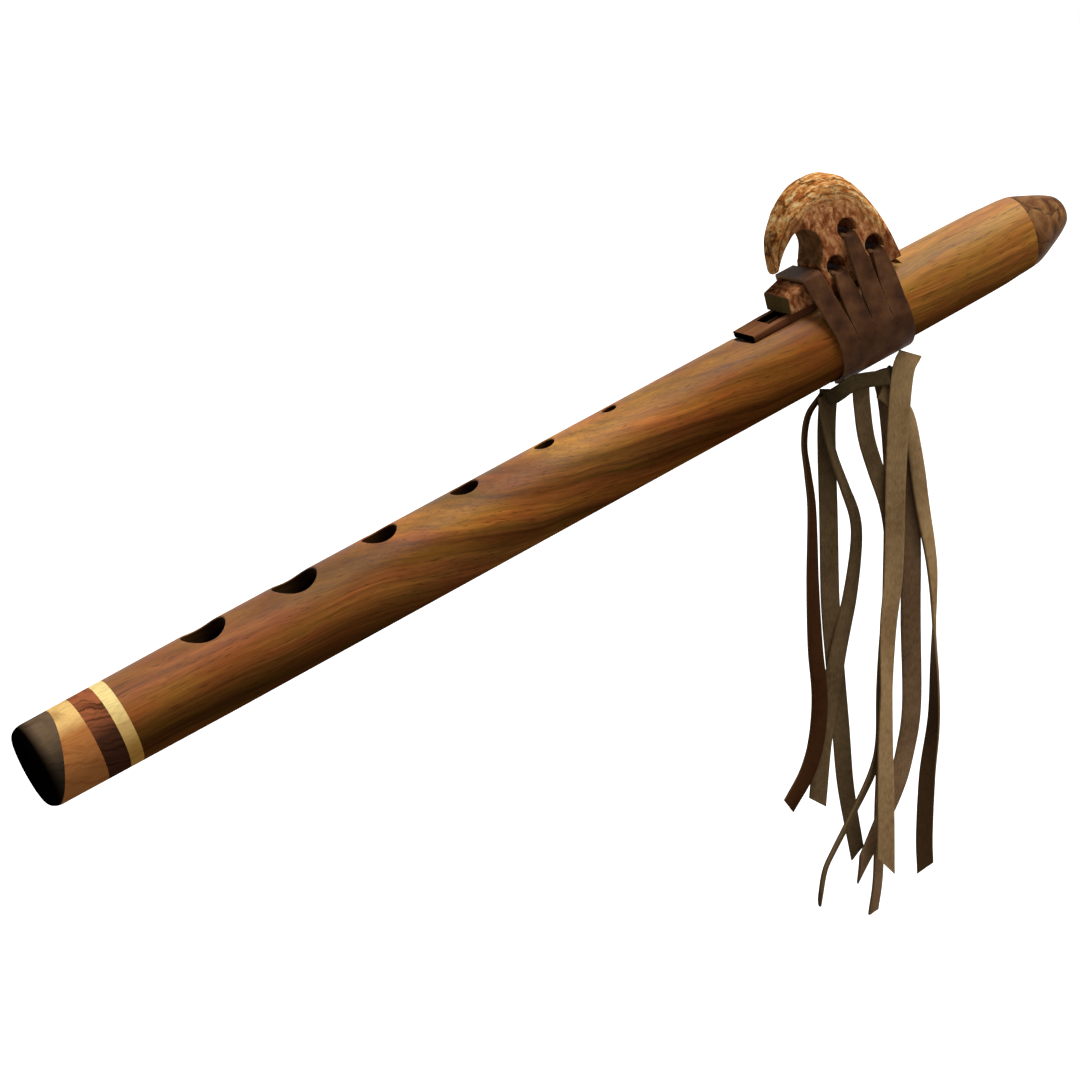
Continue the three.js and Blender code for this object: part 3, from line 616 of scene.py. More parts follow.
# Carved block: sawn, drilled and filed from one piece of coarse open-pored wood. A saddle takes the first
# strip, a throat runs up under the overhanging beak, and an arched crest runs back over three cross holes.
BLOCK_START = 0.3046
BLOCK_BASE = 0.01629
BLOCK_LENGTH = 0.0475
BLOCK_WIDTH = 0.018
BLOCK_HEIGHT = 0.0382
CROSS_HOLE_RADIUS = 0.0037
CROSS_HOLES = [(0.474, 0.212), (0.655, 0.482), (0.821, 0.22)]
# The side view in shares of length and height. Each run says whether it is curved, and how far its edge is
# rounded over from its start to its end.
SIDE_VIEW = [
    ([(0, 0), (0.017, 0.155), (0.16, 0.207), (0.345, 0.213), (0.362, 0.286)], False, (0.0004, 0.0006)),
    ([(0.362, 0.286), (0.389, 0.343), (0.415, 0.406), (0.425, 0.479), (0.413, 0.563), (0.375, 0.629),
      (0.32, 0.663), (0.265, 0.649), (0.223, 0.605), (0.181, 0.542), (0.145, 0.474), (0.112, 0.409),
      (0.088, 0.361)], True, (0.0006, 0.0006)),
    ([(0.088, 0.361), (0.048, 0.356)], False, (0.0006, 0.0008)),
    ([(0.048, 0.356), (0.042, 0.39), (0.051, 0.458), (0.065, 0.526), (0.091, 0.594), (0.126, 0.663),
      (0.171, 0.725), (0.225, 0.788)], True, (0.0012, 0.0042)),
    ([(0.225, 0.788), (0.286, 0.851), (0.354, 0.911), (0.421, 0.958), (0.493, 0.99), (0.575, 1),
      (0.661, 0.995), (0.737, 0.971), (0.8, 0.909)], True, (0.0042, 0.0046)),
    ([(0.8, 0.909), (0.853, 0.812), (0.899, 0.689), (0.941, 0.542), (0.973, 0.385), (0.992, 0.228)],
     True, (0.0046, 0.0014)),
    ([(0.992, 0.228), (1, 0.084), (1, 0)], False, (0.0014, 0.0004)),
    ([(1, 0), (0, 0)], False, (0.0003, 0.0003)),
]
# The nose's front and the throat were sawn across the grain, and take this much of a darker dull olive that
# is end grain and painted shade both.
NOSE_FRONT = [(0, 0), (0.017, 0.155)]
FRONT_END_GRAIN = 0.95
THROAT_END_GRAIN = 0.6
ON_EDGE = 0.0001
# The carved surface is a mesh of points this far apart along its edges and over its sides, with layers of
# closer points beside each edge, where it is rounded over.
BLOCK_SPACING = 0.0005
SIDE_SPACING = 1.2 * BLOCK_SPACING
HOLE_ROUNDING = 0.0005
EDGE_LAYERS = (0.00005, 0.00016, 0.00034, 0.0006, 0.0009)
# How wide the beak is at distances from its tip.
BEAK_TIP = (0.0021, 0.0137)
BEAK_REACHES = (0.0, 0.0055, 0.0088, 0.0121, 0.0168, 0.021)
BEAK_HALF_WIDTHS = (0.0022, 0.0032, 0.0044, 0.006, 0.0077, 0.009)
CHEEK_END = (0.0125, 0.0195)
NOSE_TOP = (0.0105, 0.0134)
CREST_CENTRE = (0.024, 0.015)


def side_run(shares, curved):
    """A run of the block's side view as evenly spaced points."""
    corners = [Vector((along * BLOCK_LENGTH, up * BLOCK_HEIGHT, 0)) for along, up in shares]
    if curved:
        _, length = smooth_route(corners, 2)
        return np.array([p.xy for p in smooth_route(corners, round(length / BLOCK_SPACING))[0]])
    points = []
    for a, b in zip(corners, corners[1:]):
        steps = max(1, round((b - a).length / BLOCK_SPACING))
        points += [a.lerp(b, k / steps).xy for k in range(steps)]
    return np.array([*points, corners[-1].xy])


def hole_run(share):
    """A cross hole's rim as evenly spaced points."""
    turns = np.linspace(0, 2 * math.pi, 49)
    centre = np.array((share[0] * BLOCK_LENGTH, share[1] * BLOCK_HEIGHT))
    return centre + CROSS_HOLE_RADIUS * np.stack((np.cos(turns), np.sin(turns)), axis=1)


def nearest_on(run, points):
    """How far points lie from a run, and where the nearest place is, as a share of the run."""
    step = run[1:] - run[:-1]
    offset = points[:, None] - run[:-1]
    share = np.clip((offset * step).sum(2) / (step**2).sum(1), 0, 1)
    gap = np.linalg.norm(offset - share[..., None] * step, axis=2)
    near = gap.argmin(1)
    row = np.arange(len(points))
    return gap[row, near], (near + share[row, near]) / len(step)


def is_inside(loop, points):
    """Whether points lie inside a closed loop."""
    (x0, y0), (x1, y1) = loop.T, np.roll(loop, -1, axis=0).T
    x, y = points[:, :1], points[:, 1:]
    crossed = ((y0 > y) != (y1 > y)) & (x < x0 + (x1 - x0) * (y - y0) / np.where(y1 == y0, 1, y1 - y0))
    return crossed.sum(1) % 2 == 1


def ease(value, low, high):
    """A smooth step from 0 to 1."""
    share = np.clip((value - low) / (high - low), 0, 1)
    return share**2 * (3 - 2 * share)


def half_widths(points, runs):
    """Half the block's width at points of its side view: full at the body, thin at the beak, and rounded at
    the edges."""
    full = BLOCK_WIDTH / 2
    reach = np.linalg.norm(points - BEAK_TIP, axis=1)
    thin = np.interp(reach, BEAK_REACHES, BEAK_HALF_WIDTHS)
    past = np.maximum(ease(points[:, 0], *CHEEK_END), 1 - ease(points[:, 1], *NOSE_TOP))
    body = thin + (full - thin) * past
    result = body.copy()
    for run, (start, end) in runs:
        gap, share = nearest_on(run, points)
        rounding = np.minimum(start + (end - start) * share, 0.8 * body)
        lack = np.clip(rounding - gap, 0, None)
        result = np.minimum(result, body - rounding + np.sqrt(np.clip(rounding**2 - lack**2, 0, None)))
    return result


def carve_block():
    """The block as one fine closed mesh: two rounded sides over its side view, joined along its edges."""
    runs = [(side_run(shares, curved), rounding) for shares, curved, rounding in SIDE_VIEW]
    holes = [hole_run(share) for share in CROSS_HOLES]
    outline = np.concatenate([run[:-1] for run, _ in runs])
    runs += [(hole, (HOLE_ROUNDING, HOLE_ROUNDING)) for hole in holes]
    loops = [outline, *[hole[:-1] for hole in holes]]
    inner = []
    for loop in loops:
        tangent = np.roll(loop, -1, axis=0) - np.roll(loop, 1, axis=0)
        inward = np.stack((tangent[:, 1], -tangent[:, 0]), axis=1)
        inward /= np.linalg.norm(inward, axis=1)[:, None]
        for layer in EDGE_LAYERS:
            for side in (-1, 1):
                inner.append((loop + side * layer * inward, 0.93 * layer))
    columns = np.arange(BLOCK_SPACING, BLOCK_LENGTH, SIDE_SPACING)
    levels = np.arange(BLOCK_SPACING, BLOCK_HEIGHT, SIDE_SPACING)
    inner.append((np.stack(np.meshgrid(columns, levels), axis=2).reshape(-1, 2), EDGE_LAYERS[-1] + 0.0003))
    kept = []
    for points, least in inner:
        points = points[is_inside(outline, points)]
        gaps = np.min([nearest_on(run, points)[0] for run, _ in runs], axis=0)
        drilled = np.any([is_inside(hole[:-1], points) for hole in holes], axis=0)
        kept.append(points[(gaps >= least) & ~drilled])
    flat, edges = [], []
    for loop in loops:
        edges += [(len(flat) + i, len(flat) + (i + 1) % len(loop)) for i in range(len(loop))]
        flat += [Vector(p) for p in loop]
    flat += [Vector(p) for p in np.concatenate(kept)]
    places, _, faces, *_ = delaunay_2d_cdt(flat, edges, [], 1, 1e-7)
    places = np.array([tuple(p) for p in places])
    middles = np.array([places[list(face)].mean(0) for face in faces])
    drilled = np.any([is_inside(hole[:-1], middles) for hole in holes], axis=0)
    faces = [tuple(face) for face, empty in zip(faces, drilled) if not empty]
    half = half_widths(places, runs)
    count = len(places)
    points = [(x, -w, z) for (x, z), w in zip(places, half)] + [(x, w, z) for (x, z), w in zip(places, half)]
    sides = faces + [tuple(i + count for i in reversed(face)) for face in faces]
    used = {}
    for face in faces:
        for a, b in zip(face, face[1:] + face[:1]):
            used[a, b] = True
    sides += [(b, a, a + count, b + count) for a, b in used if (b, a) not in used]
    mesh = bpy.data.meshes.new("carved_block")
    mesh.from_pydata([to_row @ Vector((BLOCK_START + x, y, BLOCK_BASE + z)) for x, y, z in points], [], sides)
    front = nearest_on(side_run(NOSE_FRONT, False), places)[0] < ON_EDGE
    throat = nearest_on(runs[1][0], places)[0] < ON_EDGE
    sawn = np.maximum(FRONT_END_GRAIN * front, THROAT_END_GRAIN * throat)
    mesh.attributes.new("end_grain_and_shade", "FLOAT", "POINT").data.foreach_set("value", np.tile(sawn, 2))
    return as_plain_mesh(placed("carved_block", mesh), 50)


def filed_block_wood():
    """Red oak burr, sawn, filed and oiled: mottled red-brown sides with dark open pores, a paler golden crest
    where the growth layers are cut as fine dark scales round its arch, and sawn end grain painted a darker
    dull olive, as end grain and as painted shade."""
    material, tree = new_material("filed_red_oak")
    place = on_flute(tree, BLOCK_START, BLOCK_BASE)
    x, y, z = add(tree, "ShaderNodeSeparateXYZ", {0: place}).outputs
    out_x = maths(tree, "SUBTRACT", x, CREST_CENTRE[0])
    out_z = maths(tree, "SUBTRACT", z, CREST_CENTRE[1])
    flat = add(tree, "ShaderNodeCombineXYZ", {"X": out_x, "Y": out_z})
    ring = add(tree, "ShaderNodeVectorMath", {0: flat.outputs[0]}, operation="LENGTH").outputs["Value"]
    turn = maths(tree, "ARCTAN2", out_z, out_x)
    warp = noise(tree, place, 210, 2)
    waved = maths(tree, "MULTIPLY_ADD", warp, 0.003, ring)
    # Growth layers 1.15 mm apart show as dark lines, each broken every few millimetres.
    layer = maths(tree, "MULTIPLY", waved, 1 / 0.00115)
    ripple = noise(tree, stretched(tree, turn, y, ring, (16, 420, 700)), 1.0, 3)
    rippled = maths(tree, "MULTIPLY_ADD", ripple, 1.1, layer)
    saw = maths(tree, "PINGPONG", rippled, 1.0)
    line = ramped(tree, saw, 0, 0.42, 1.0, 0.0)
    broken = noise(tree, stretched(tree, turn, y, ring, (11, 260, 520)), 1.0, 2)
    shown = ramped(tree, broken, 0.33, 0.46)
    scaly = maths(tree, "MULTIPLY", line, shown)
    pores = noise(tree, stretched(tree, turn, y, waved, (14, 900, 2100)), 1.0, 2)
    patches = noise(tree, stretched(tree, turn, y, waved, (6, 260, 1300)), 1.0, 3)
    mottles = add(tree, "ShaderNodeTexNoise",
                  {"Vector": stretched(tree, x, y, z, (640, 300, 300)), "Scale": 1.0, "Detail": 4,
                   "Distortion": 0.4})
    pale = add(tree, "ShaderNodeValToRGB", {"Fac": patches},
               stops=[(0.34, "#b66832"), (0.45, "#d28b49"), (0.55, "#eaae6a"), (0.66, "#fcd698")])
    side = add(tree, "ShaderNodeValToRGB", {"Fac": mottles.outputs["Fac"]},
               stops=[(0.34, "#7f4427"), (0.45, "#ab663c"), (0.55, "#cd8755"), (0.66, "#e6aa74")])
    # The golden crest lies over the arch, and the saddle and foot under it are the darkest, with painted
    # shade.
    crest = ramped(tree, waved, 0.0153, 0.0212)
    upper = ramped(tree, z, 0.0105, 0.015)
    crested = maths(tree, "MULTIPLY", crest, upper)
    wood = blended(tree, crested, side.outputs[0], pale.outputs[0])
    low = ramped(tree, z, 0.0085, 0.0125, 0.68, 1.0)
    shaded = add(tree, "ShaderNodeHueSaturation", {"Color": wood, "Value": low})
    dash = ramped(tree, pores, 0.54, 0.66, 0, 0.6)
    strength = ramped(tree, crested, 0, 1, 0.35, 0.95)
    scaled = maths(tree, "MULTIPLY", scaly, strength)
    marked = maths(tree, "MAXIMUM", scaled, dash)
    lined = blended(tree, marked, shaded.outputs[0], linear("#4f260e"))
    # The throat and the nose's front were sawn across the grain, and are painted a darker dull olive: end
    # grain and painted shade both.
    end_grain_and_shade = add(tree, "ShaderNodeAttribute", attribute_name="end_grain_and_shade").outputs["Fac"]
    colour = blended(tree, end_grain_and_shade, lined, linear("#665533"))
    sunk = maths(tree, "SUBTRACT", 1.0, marked)
    surfaced(tree, colour, 0.55, 0.0, sunk, 0.3, 0.00006)
    return material


def tied_on(piece, material, node):
    """Gives a piece its material and sets it on the tied block's body in place of its CAD node."""
    piece.data.materials.clear()
    piece.data.materials.append(material)
    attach(piece, "tied_block")
    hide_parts(node)


block = carve_block()
tied_on(block, filed_block_wood(), "totem_block")


# Lace wrap: one strap of smooth leather round the tube, slit by hand into four strips. The first strip
# crosses the saddle, and the others pass through the cross holes and come down the far side.
LEATHER_THICKNESS = 0.0014
LEATHER_GAP = 0.0003
STRIP_WIDTH = 0.00725
STRIP_WIDTH_IN_HOLE = 0.0056
SLIT_WIDTH = 0.00035
WRAP_START = 0.3146
# Degrees round the tube from its top: where the strap ends under it, from row to row, and where slits end.
WRAP_END = 176
WRAP_STEP = 4
SLIT_ENDS = (96, 80, 88)
SADDLE_CROSSING = (0.3164, 0.02539)
CUP_RADIUS = 0.0027
LEATHER_RADIUS = TUBE_RADIUS + LEATHER_GAP + LEATHER_THICKNESS / 2
LEATHER_BEND = LEATHER_GAP + LEATHER_THICKNESS / 2
# Points across a strip, in shares of half its width.
ACROSS_STRIP = (-1, -0.88, -0.6, -0.3, 0, 0.3, 0.6, 0.88, 1)
EDGE_SOFTNESS = 0.00022
CUT_EDGE_RAWNESS = 0.7


def smooth_dyed_leather():
    """Drum-dyed cowhide, grain side out: purple brown with a low even shine and paler raw edges along the
    cuts."""
    material, tree = new_material("drum_dyed_cowhide")
    place = add(tree, "ShaderNodeTexCoord").outputs["Object"]
    edge = add(tree, "ShaderNodeAttribute", attribute_name="cut_edge").outputs["Fac"]
    grain = add(tree, "ShaderNodeTexVoronoi", {"Vector": place, "Scale": 1500})
    clouds = noise(tree, place, 160, 4)
    ground = add(tree, "ShaderNodeValToRGB", {"Fac": clouds},
                 stops=[(0.32, "#3b2317"), (0.5, "#52331f"), (0.68, "#65432a")])
    raw = ramped(tree, edge, 0.5, 1.0, 0, 0.85)
    colour = blended(tree, raw, ground.outputs[0], linear("#a98259"))
    height = maths(tree, "MULTIPLY_ADD", grain.outputs["Distance"], 0.4, clouds)
    surfaced(tree, colour, 0.55, 0.05, height, 0.3, 0.0002)
    return material


def strip_rows(index):
    """One strip's rows of points, from under the tube up the near side, across the block and down the far
    side, each with its angle round the tube, or None off it. The leather is pulled tight: it leaves the tube
    on a tangent, runs straight to the block's edge and lies cupped in a cross hole."""
    band_x = WRAP_START + index * (STRIP_WIDTH + SLIT_WIDTH) + STRIP_WIDTH / 2
    half = STRIP_WIDTH / 2
    if index == 0:
        crossing = [(SADDLE_CROSSING[0] + half * u, SADDLE_CROSSING[1]) for u in ACROSS_STRIP]
    else:
        along, up = CROSS_HOLES[index - 1]
        x, z = BLOCK_START + along * BLOCK_LENGTH, BLOCK_BASE + up * BLOCK_HEIGHT
        turns = [STRIP_WIDTH_IN_HOLE / 2 * u / CUP_RADIUS for u in ACROSS_STRIP]
        crossing = [(x + CUP_RADIUS * math.sin(turn), z - CUP_RADIUS * math.cos(turn)) for turn in turns]
    middle_x, middle_z = crossing[len(ACROSS_STRIP) // 2]
    edge = Vector((BLOCK_WIDTH / 2, middle_z - LEATHER_BEND))
    leaving = math.atan2(*edge) + math.acos((LEATHER_RADIUS - LEATHER_BEND) / edge.length)
    rows = []
    for angle in range(WRAP_END, math.ceil(math.degrees(leaving)), -WRAP_STEP):
        turn = math.radians(angle)
        y, z = -LEATHER_RADIUS * math.sin(turn), LEATHER_RADIUS * math.cos(turn)
        rows.append(([Vector((band_x + half * u, y, z)) for u in ACROSS_STRIP], angle))
    start_y, start_z = -LEATHER_RADIUS * math.sin(leaving), LEATHER_RADIUS * math.cos(leaving)
    side_y = -edge[0] - LEATHER_BEND * math.sin(leaving)
    run_steps = 10
    for k in range(run_steps + 1):
        share = k / run_steps
        row = []
        for u, (x, z) in zip(ACROSS_STRIP, crossing):
            flat = Vector((middle_x + half * u, side_y, middle_z - LEATHER_BEND * (1 - math.cos(leaving))))
            cupped = Vector((x, side_y, z - LEATHER_BEND * (1 - math.cos(leaving))))
            level = Vector((band_x + half * u, start_y, start_z)).lerp(flat, share)
            row.append(level + share**3 * (cupped - flat))
        rows.append((row, None))
    bend_steps = 6
    for k in range(1, bend_steps + 1):
        turn = leaving * (1 - k / bend_steps)
        y = -edge[0] - LEATHER_BEND * math.sin(turn)
        rows.append(([Vector((x, y, z - LEATHER_BEND * (1 - math.cos(turn)))) for x, z in crossing], None))
    for share in (0.6, 0.2):
        rows.append(([Vector((x, -share * edge[0], z)) for x, z in crossing], None))
    far = [([Vector((p.x, -p.y, p.z)) for p in row], None if angle is None else -angle)
           for row, angle in reversed(rows)]
    return [*rows, *far]


shell = bmesh.new()
cut_edge = shell.verts.layers.float.new("cut_edge")
strips = []
angles = []
for index in range(len(SLIT_ENDS) + 1):
    rows = []
    angles.append([])
    for points, angle in strip_rows(index):
        rows.append([shell.verts.new(to_row @ p) for p in points])
        angles[-1].append(angle)
        for side, slit in ((0, index - 1), (-1, index)):
            whole = 0 <= slit < len(SLIT_ENDS) and angle is not None and angle > SLIT_ENDS[slit]
            rows[-1][side][cut_edge] = 0.0 if whole else CUT_EDGE_RAWNESS
    for row, after in zip(rows, rows[1:]):
        for k in range(len(ACROSS_STRIP) - 1):
            shell.faces.new((row[k], row[k + 1], after[k + 1], after[k]))
    strips.append(rows)
# Below the end of each slit its two strips are one piece of leather, on the near side only.
for index, slit_end in enumerate(SLIT_ENDS):
    joined = [i for i, angle in enumerate(angles[index]) if angle is not None and angle >= slit_end]
    for i, after in zip(joined, joined[1:]):
        left, right = strips[index], strips[index + 1]
        shell.faces.new((left[i][-1], right[i][0], right[after][0], left[after][-1]))
    tip_row = joined[-1]
    middle = (strips[index][tip_row][-1].co + strips[index + 1][tip_row][0].co) / 2
    ends = [strips[index][tip_row][-1], strips[index + 1][tip_row][0]]
    bmesh.ops.pointmerge(shell, verts=ends, merge_co=middle)
bmesh.ops.recalc_face_normals(shell, faces=shell.faces)
wrap_mesh = bpy.data.meshes.new("lace_wrap_leather")
shell.to_mesh(wrap_mesh)
shell.free()
wrap = placed("lace_wrap_leather", wrap_mesh)
thick = wrap.modifiers.new("thickness", "SOLIDIFY")
thick.thickness, thick.offset = LEATHER_THICKNESS, 0
soft = wrap.modifiers.new("softened edges", "BEVEL")
soft.width, soft.segments = EDGE_SOFTNESS, 2
soft.limit_method, soft.angle_limit = "ANGLE", math.radians(60)
as_plain_mesh(wrap, 50)
tied_on(wrap, smooth_dyed_leather(), "lace_wrap")


# Tie: a strap of cowhide, brushed on its flesh side, that comes from under the tube, round its near side and
# back under the wrap. It holds the ends of the lace, and the thongs hang from behind it.
STRAP_THICKNESS = 0.0014
STRAP_EDGE_WEAR = 0.00012
RAW_EDGE = "#7c6242"
TIE_WIDTH = 0.0056
TIE_ROUTE = [(0.335, -0.00453, -0.022), (0.331, -0.009, -0.021), (0.3265, -0.0105, -0.0192),
             (0.32151, -0.0112, -0.0172), (0.31751, -0.0117, -0.01595), (0.31349, -0.0117, -0.016),
             (0.31021, -0.01021, -0.01701), (0.3088, -0.006, -0.01861), (0.30901, -0.003008, -0.0192)]


def cowhide_split(name, suede, grain):
    """Chrome-tanned cowhide thong, split and brushed on its flesh side: a matt nap there that scatters light
    softly, a faint smooth shine on the dyed grain side, and pale raw fibres along the cut edges."""
    material, tree = new_material(name)
    place = add(tree, "ShaderNodeTexCoord").outputs["Object"]
    side = add(tree, "ShaderNodeAttribute", attribute_name="face_side").outputs["Fac"]
    across = add(tree, "ShaderNodeAttribute", attribute_name="width_side").outputs["Fac"]
    along = add(tree, "ShaderNodeAttribute", attribute_name="along").outputs["Fac"]
    # Nap clumps 1.5 mm wide, drawn out down the thong, and single fibres coarse enough to show.
    clumps = noise(tree, place, 420, 4, 0.65)
    strand = add(tree, "ShaderNodeCombineXYZ", {"X": across, "Y": along})
    drawn = add(tree, "ShaderNodeMapping", {"Vector": strand.outputs[0], "Scale": (3.2, 190, 1)})
    fibres = noise(tree, drawn.outputs[0], 2.2, 3)
    patches = noise(tree, place, 55, 2)
    nap = add(tree, "ShaderNodeMix", {0: 0.5, "A": clumps, "B": fibres})
    tone = add(tree, "ShaderNodeMix", {0: 0.35, "A": nap.outputs[0], "B": patches})
    spread = ramped(tree, tone.outputs[0], 0.36, 0.64)
    shade = blended(tree, spread, linear(suede[0]), linear(suede[1]))
    dyed = blended(tree, spread, linear(grain[0]), linear(grain[1]))
    is_grain = ramped(tree, side, -0.2, 0.6)
    faces = blended(tree, is_grain, shade, dyed)
    edge = maths(tree, "ABSOLUTE", across)
    raw = ramped(tree, edge, 0.93, 1.0, 0, 0.55)
    colour = blended(tree, raw, faces, linear(RAW_EDGE))
    gloss = ramped(tree, side, -0.2, 0.6, 0.95, 0.62)
    surfaced(tree, colour, gloss, 0.01, nap.outputs[0], 0.5, 0.00025)
    return material


def cut_strap_tree():
    """Leather strap along a path. Every point of the path says which way the strap's width and face look.
    The section is a flat strip with softened edges, worn a little uneven."""
    tree = bpy.data.node_groups.new("cut_strap", "GeometryNodeTree")
    face = tree.interface
    for name, kind in (("Geometry", "Geometry"), ("Thickness", "Float"), ("Edge wear", "Float"),
                       ("Seed", "Int"), ("Leather", "Material")):
        face.new_socket(name, in_out="INPUT", socket_type=f"NodeSocket{kind}")
    face.new_socket("Geometry", in_out="OUTPUT", socket_type="NodeSocketGeometry")
    given = add(tree, "NodeGroupInput").outputs
    section = add(tree, "GeometryNodeCurvePrimitiveCircle", {"Resolution": 20, "Radius": 1.0})
    turn = add(tree, "GeometryNodeInputPosition").outputs[0]
    split = add(tree, "ShaderNodeSeparateXYZ", {0: turn}).outputs
    # A circle's point (c, s) becomes a flat strip's corner-softened one: c grows towards the edge early.
    sides = []
    for axis, power in (("X", 0.35), ("Y", 0.5)):
        size = maths(tree, "ABSOLUTE", split[axis])
        grown = maths(tree, "POWER", size, power)
        sign = maths(tree, "SIGN", split[axis])
        sides.append(maths(tree, "MULTIPLY", grown, sign))
    held = section.outputs["Curve"]
    for name, value in zip(("width_side", "face_side"), sides):
        held = add(tree, "GeometryNodeStoreNamedAttribute",
                   {"Geometry": held, "Name": name, "Value": value},
                   data_type="FLOAT", domain="POINT").outputs[0]
    thin = add(tree, "GeometryNodeTransform", {"Geometry": held, "Scale": (1e-5, 1e-5, 1e-5)})
    line = add(tree, "GeometryNodeMeshToCurve", {0: given["Geometry"]})
    strip = add(tree, "GeometryNodeCurveToMesh",
                {"Curve": line.outputs[0], "Profile Curve": thin.outputs[0], "Fill Caps": True})
    read = {}
    for kind, names in (("FLOAT", ("width_side", "face_side", "cupping")),
                        ("FLOAT_VECTOR", ("width_way", "face_way", "cut_way"))):
        for name in names:
            attribute = add(tree, "GeometryNodeInputNamedAttribute", {"Name": name}, data_type=kind)
            read[name] = attribute.outputs[0]
    place = add(tree, "GeometryNodeInputPosition").outputs[0]
    seeded = add(tree, "ShaderNodeVectorMath", {0: place, 1: given["Seed"]}, operation="ADD")
    rough = noise(tree, seeded.outputs[0], 260, 3)
    centred = maths(tree, "SUBTRACT", rough, 0.5)
    wear = maths(tree, "MULTIPLY", centred, given["Edge wear"])
    half = maths(tree, "MULTIPLY", given["Thickness"], 0.5)
    squared = maths(tree, "MULTIPLY", read["width_side"], read["width_side"])
    cup = maths(tree, "MULTIPLY", squared, read["cupping"])
    lift = maths(tree, "MULTIPLY_ADD", read["face_side"], half, cup)
    moved = place
    for way, amount in (("width_way", read["width_side"]), ("cut_way", read["width_side"]),
                        ("face_way", lift)):
        step = add(tree, "ShaderNodeVectorMath", {0: read[way], "Scale": amount}, operation="SCALE")
        moved = add(tree, "ShaderNodeVectorMath", {0: moved, 1: step.outputs[0]}, operation="ADD").outputs[0]
    # The edges wear unevenly along the strap's width.
    way = add(tree, "ShaderNodeVectorMath", {0: read["width_way"]}, operation="NORMALIZE")
    worn = add(tree, "ShaderNodeVectorMath", {0: way.outputs[0], "Scale": wear}, operation="SCALE")
    moved = add(tree, "ShaderNodeVectorMath", {0: moved, 1: worn.outputs[0]}, operation="ADD").outputs[0]
    shaped = add(tree, "GeometryNodeSetPosition", {"Geometry": strip.outputs[0], "Position": moved})
    whole = add(tree, "GeometryNodeRealizeInstances", {0: shaped.outputs[0]})
    made = add(tree, "GeometryNodeSetMaterial", {"Geometry": whole.outputs[0], "Material": given["Leather"]})
    add(tree, "NodeGroupOutput", {0: made.outputs[0]})
    return tree


strap_tree = cut_strap_tree()


def cut_strap(name, points, length, turns, widths, material, slants=(0.0, 0.0), cupping=0.0, seed=0,
              ways=(Vector((1, 0, 0)), Vector((0, 1, 0)))):
    """A strap along evenly spaced points. Turns and widths are (share of the length, value) pairs: how far
    its width is turned from the first way towards the second, and how wide it is. Slants are how far the
    first and last cut lean."""
    mesh = bpy.data.meshes.new(name)
    count = len(points)
    mesh.from_pydata(points, [(i, i + 1) for i in range(count - 1)], [])
    shares = np.linspace(0, 1, count)
    turn = np.interp(shares, *zip(*turns))
    width = np.interp(shares, *zip(*widths))
    columns = {"width_way": [], "face_way": [], "cut_way": []}
    for i in range(count):
        onward = (points[min(i + 1, count - 1)] - points[max(i - 1, 0)]).normalized()
        level = math.cos(math.radians(turn[i])) * ways[0] + math.sin(math.radians(turn[i])) * ways[1]
        way = (level - level.dot(onward) * onward).normalized()
        columns["width_way"].append(way * width[i] / 2)
        columns["face_way"].append(way.cross(onward).normalized())
        columns["cut_way"].append(onward * (slants[0] * (1 - shares[i]) ** 24 + slants[1] * shares[i] ** 24))
    for key, vectors in columns.items():
        mesh.attributes.new(key, "FLOAT_VECTOR", "POINT").data.foreach_set("vector", np.ravel(vectors))
    mesh.attributes.new("along", "FLOAT", "POINT").data.foreach_set("value", shares * length)
    mesh.attributes.new("cupping", "FLOAT", "POINT").data.foreach_set("value", [cupping] * count)
    piece = placed(name, mesh)
    modifier = piece.modifiers.new("strap", "NODES")
    modifier.node_group = strap_tree
    values = {"Thickness": STRAP_THICKNESS, "Edge wear": STRAP_EDGE_WEAR, "Seed": seed, "Leather": material}
    for item in strap_tree.interface.items_tree:
        if item.name in values:
            modifier[item.identifier] = values[item.name]
    return as_plain_mesh(piece)


tie_hide = cowhide_split("dark_brushed_cowhide", ("#3f3320", "#5c4c31"), ("#33251a", "#423022"))
tie_line, tie_length = smooth_route([to_row @ Vector(p) for p in TIE_ROUTE], 90)
tie = cut_strap(
    "suede_tie", tie_line, tie_length, [(0, 0), (1, 0)], [(0, TIE_WIDTH), (1, TIE_WIDTH)], tie_hide, seed=11,
    ways=(to_row.to_3x3() @ Vector((0, 0, -1)), Vector((0, 1, 0))),
)
tied_on(tie, tie_hide, "lace_tie")


# Fringe of eight thongs of the same cowhide, one of them of smooth dyed leather. Each is one end of the
# lacing under the flute. It hangs under its own weight, a little twisted, with its tip cut on the slant.
PATH_POINTS = 40
olive_hide = cowhide_split("olive_brushed_cowhide", ("#5f4a30", "#836a4a"), ("#3a291b", "#4b3625"))
light_hide = cowhide_split("light_brushed_cowhide", ("#8b6a45", "#b9976a"), ("#46321f", "#5a4129"))
brown_hide = cowhide_split("brown_brushed_cowhide", ("#70543a", "#967656"), ("#3a291b", "#4b3625"))
dyed_hide = cowhide_split("dyed_cowhide", ("#3f2513", "#4f301a"), ("#3c2113", "#4e2b1a"))

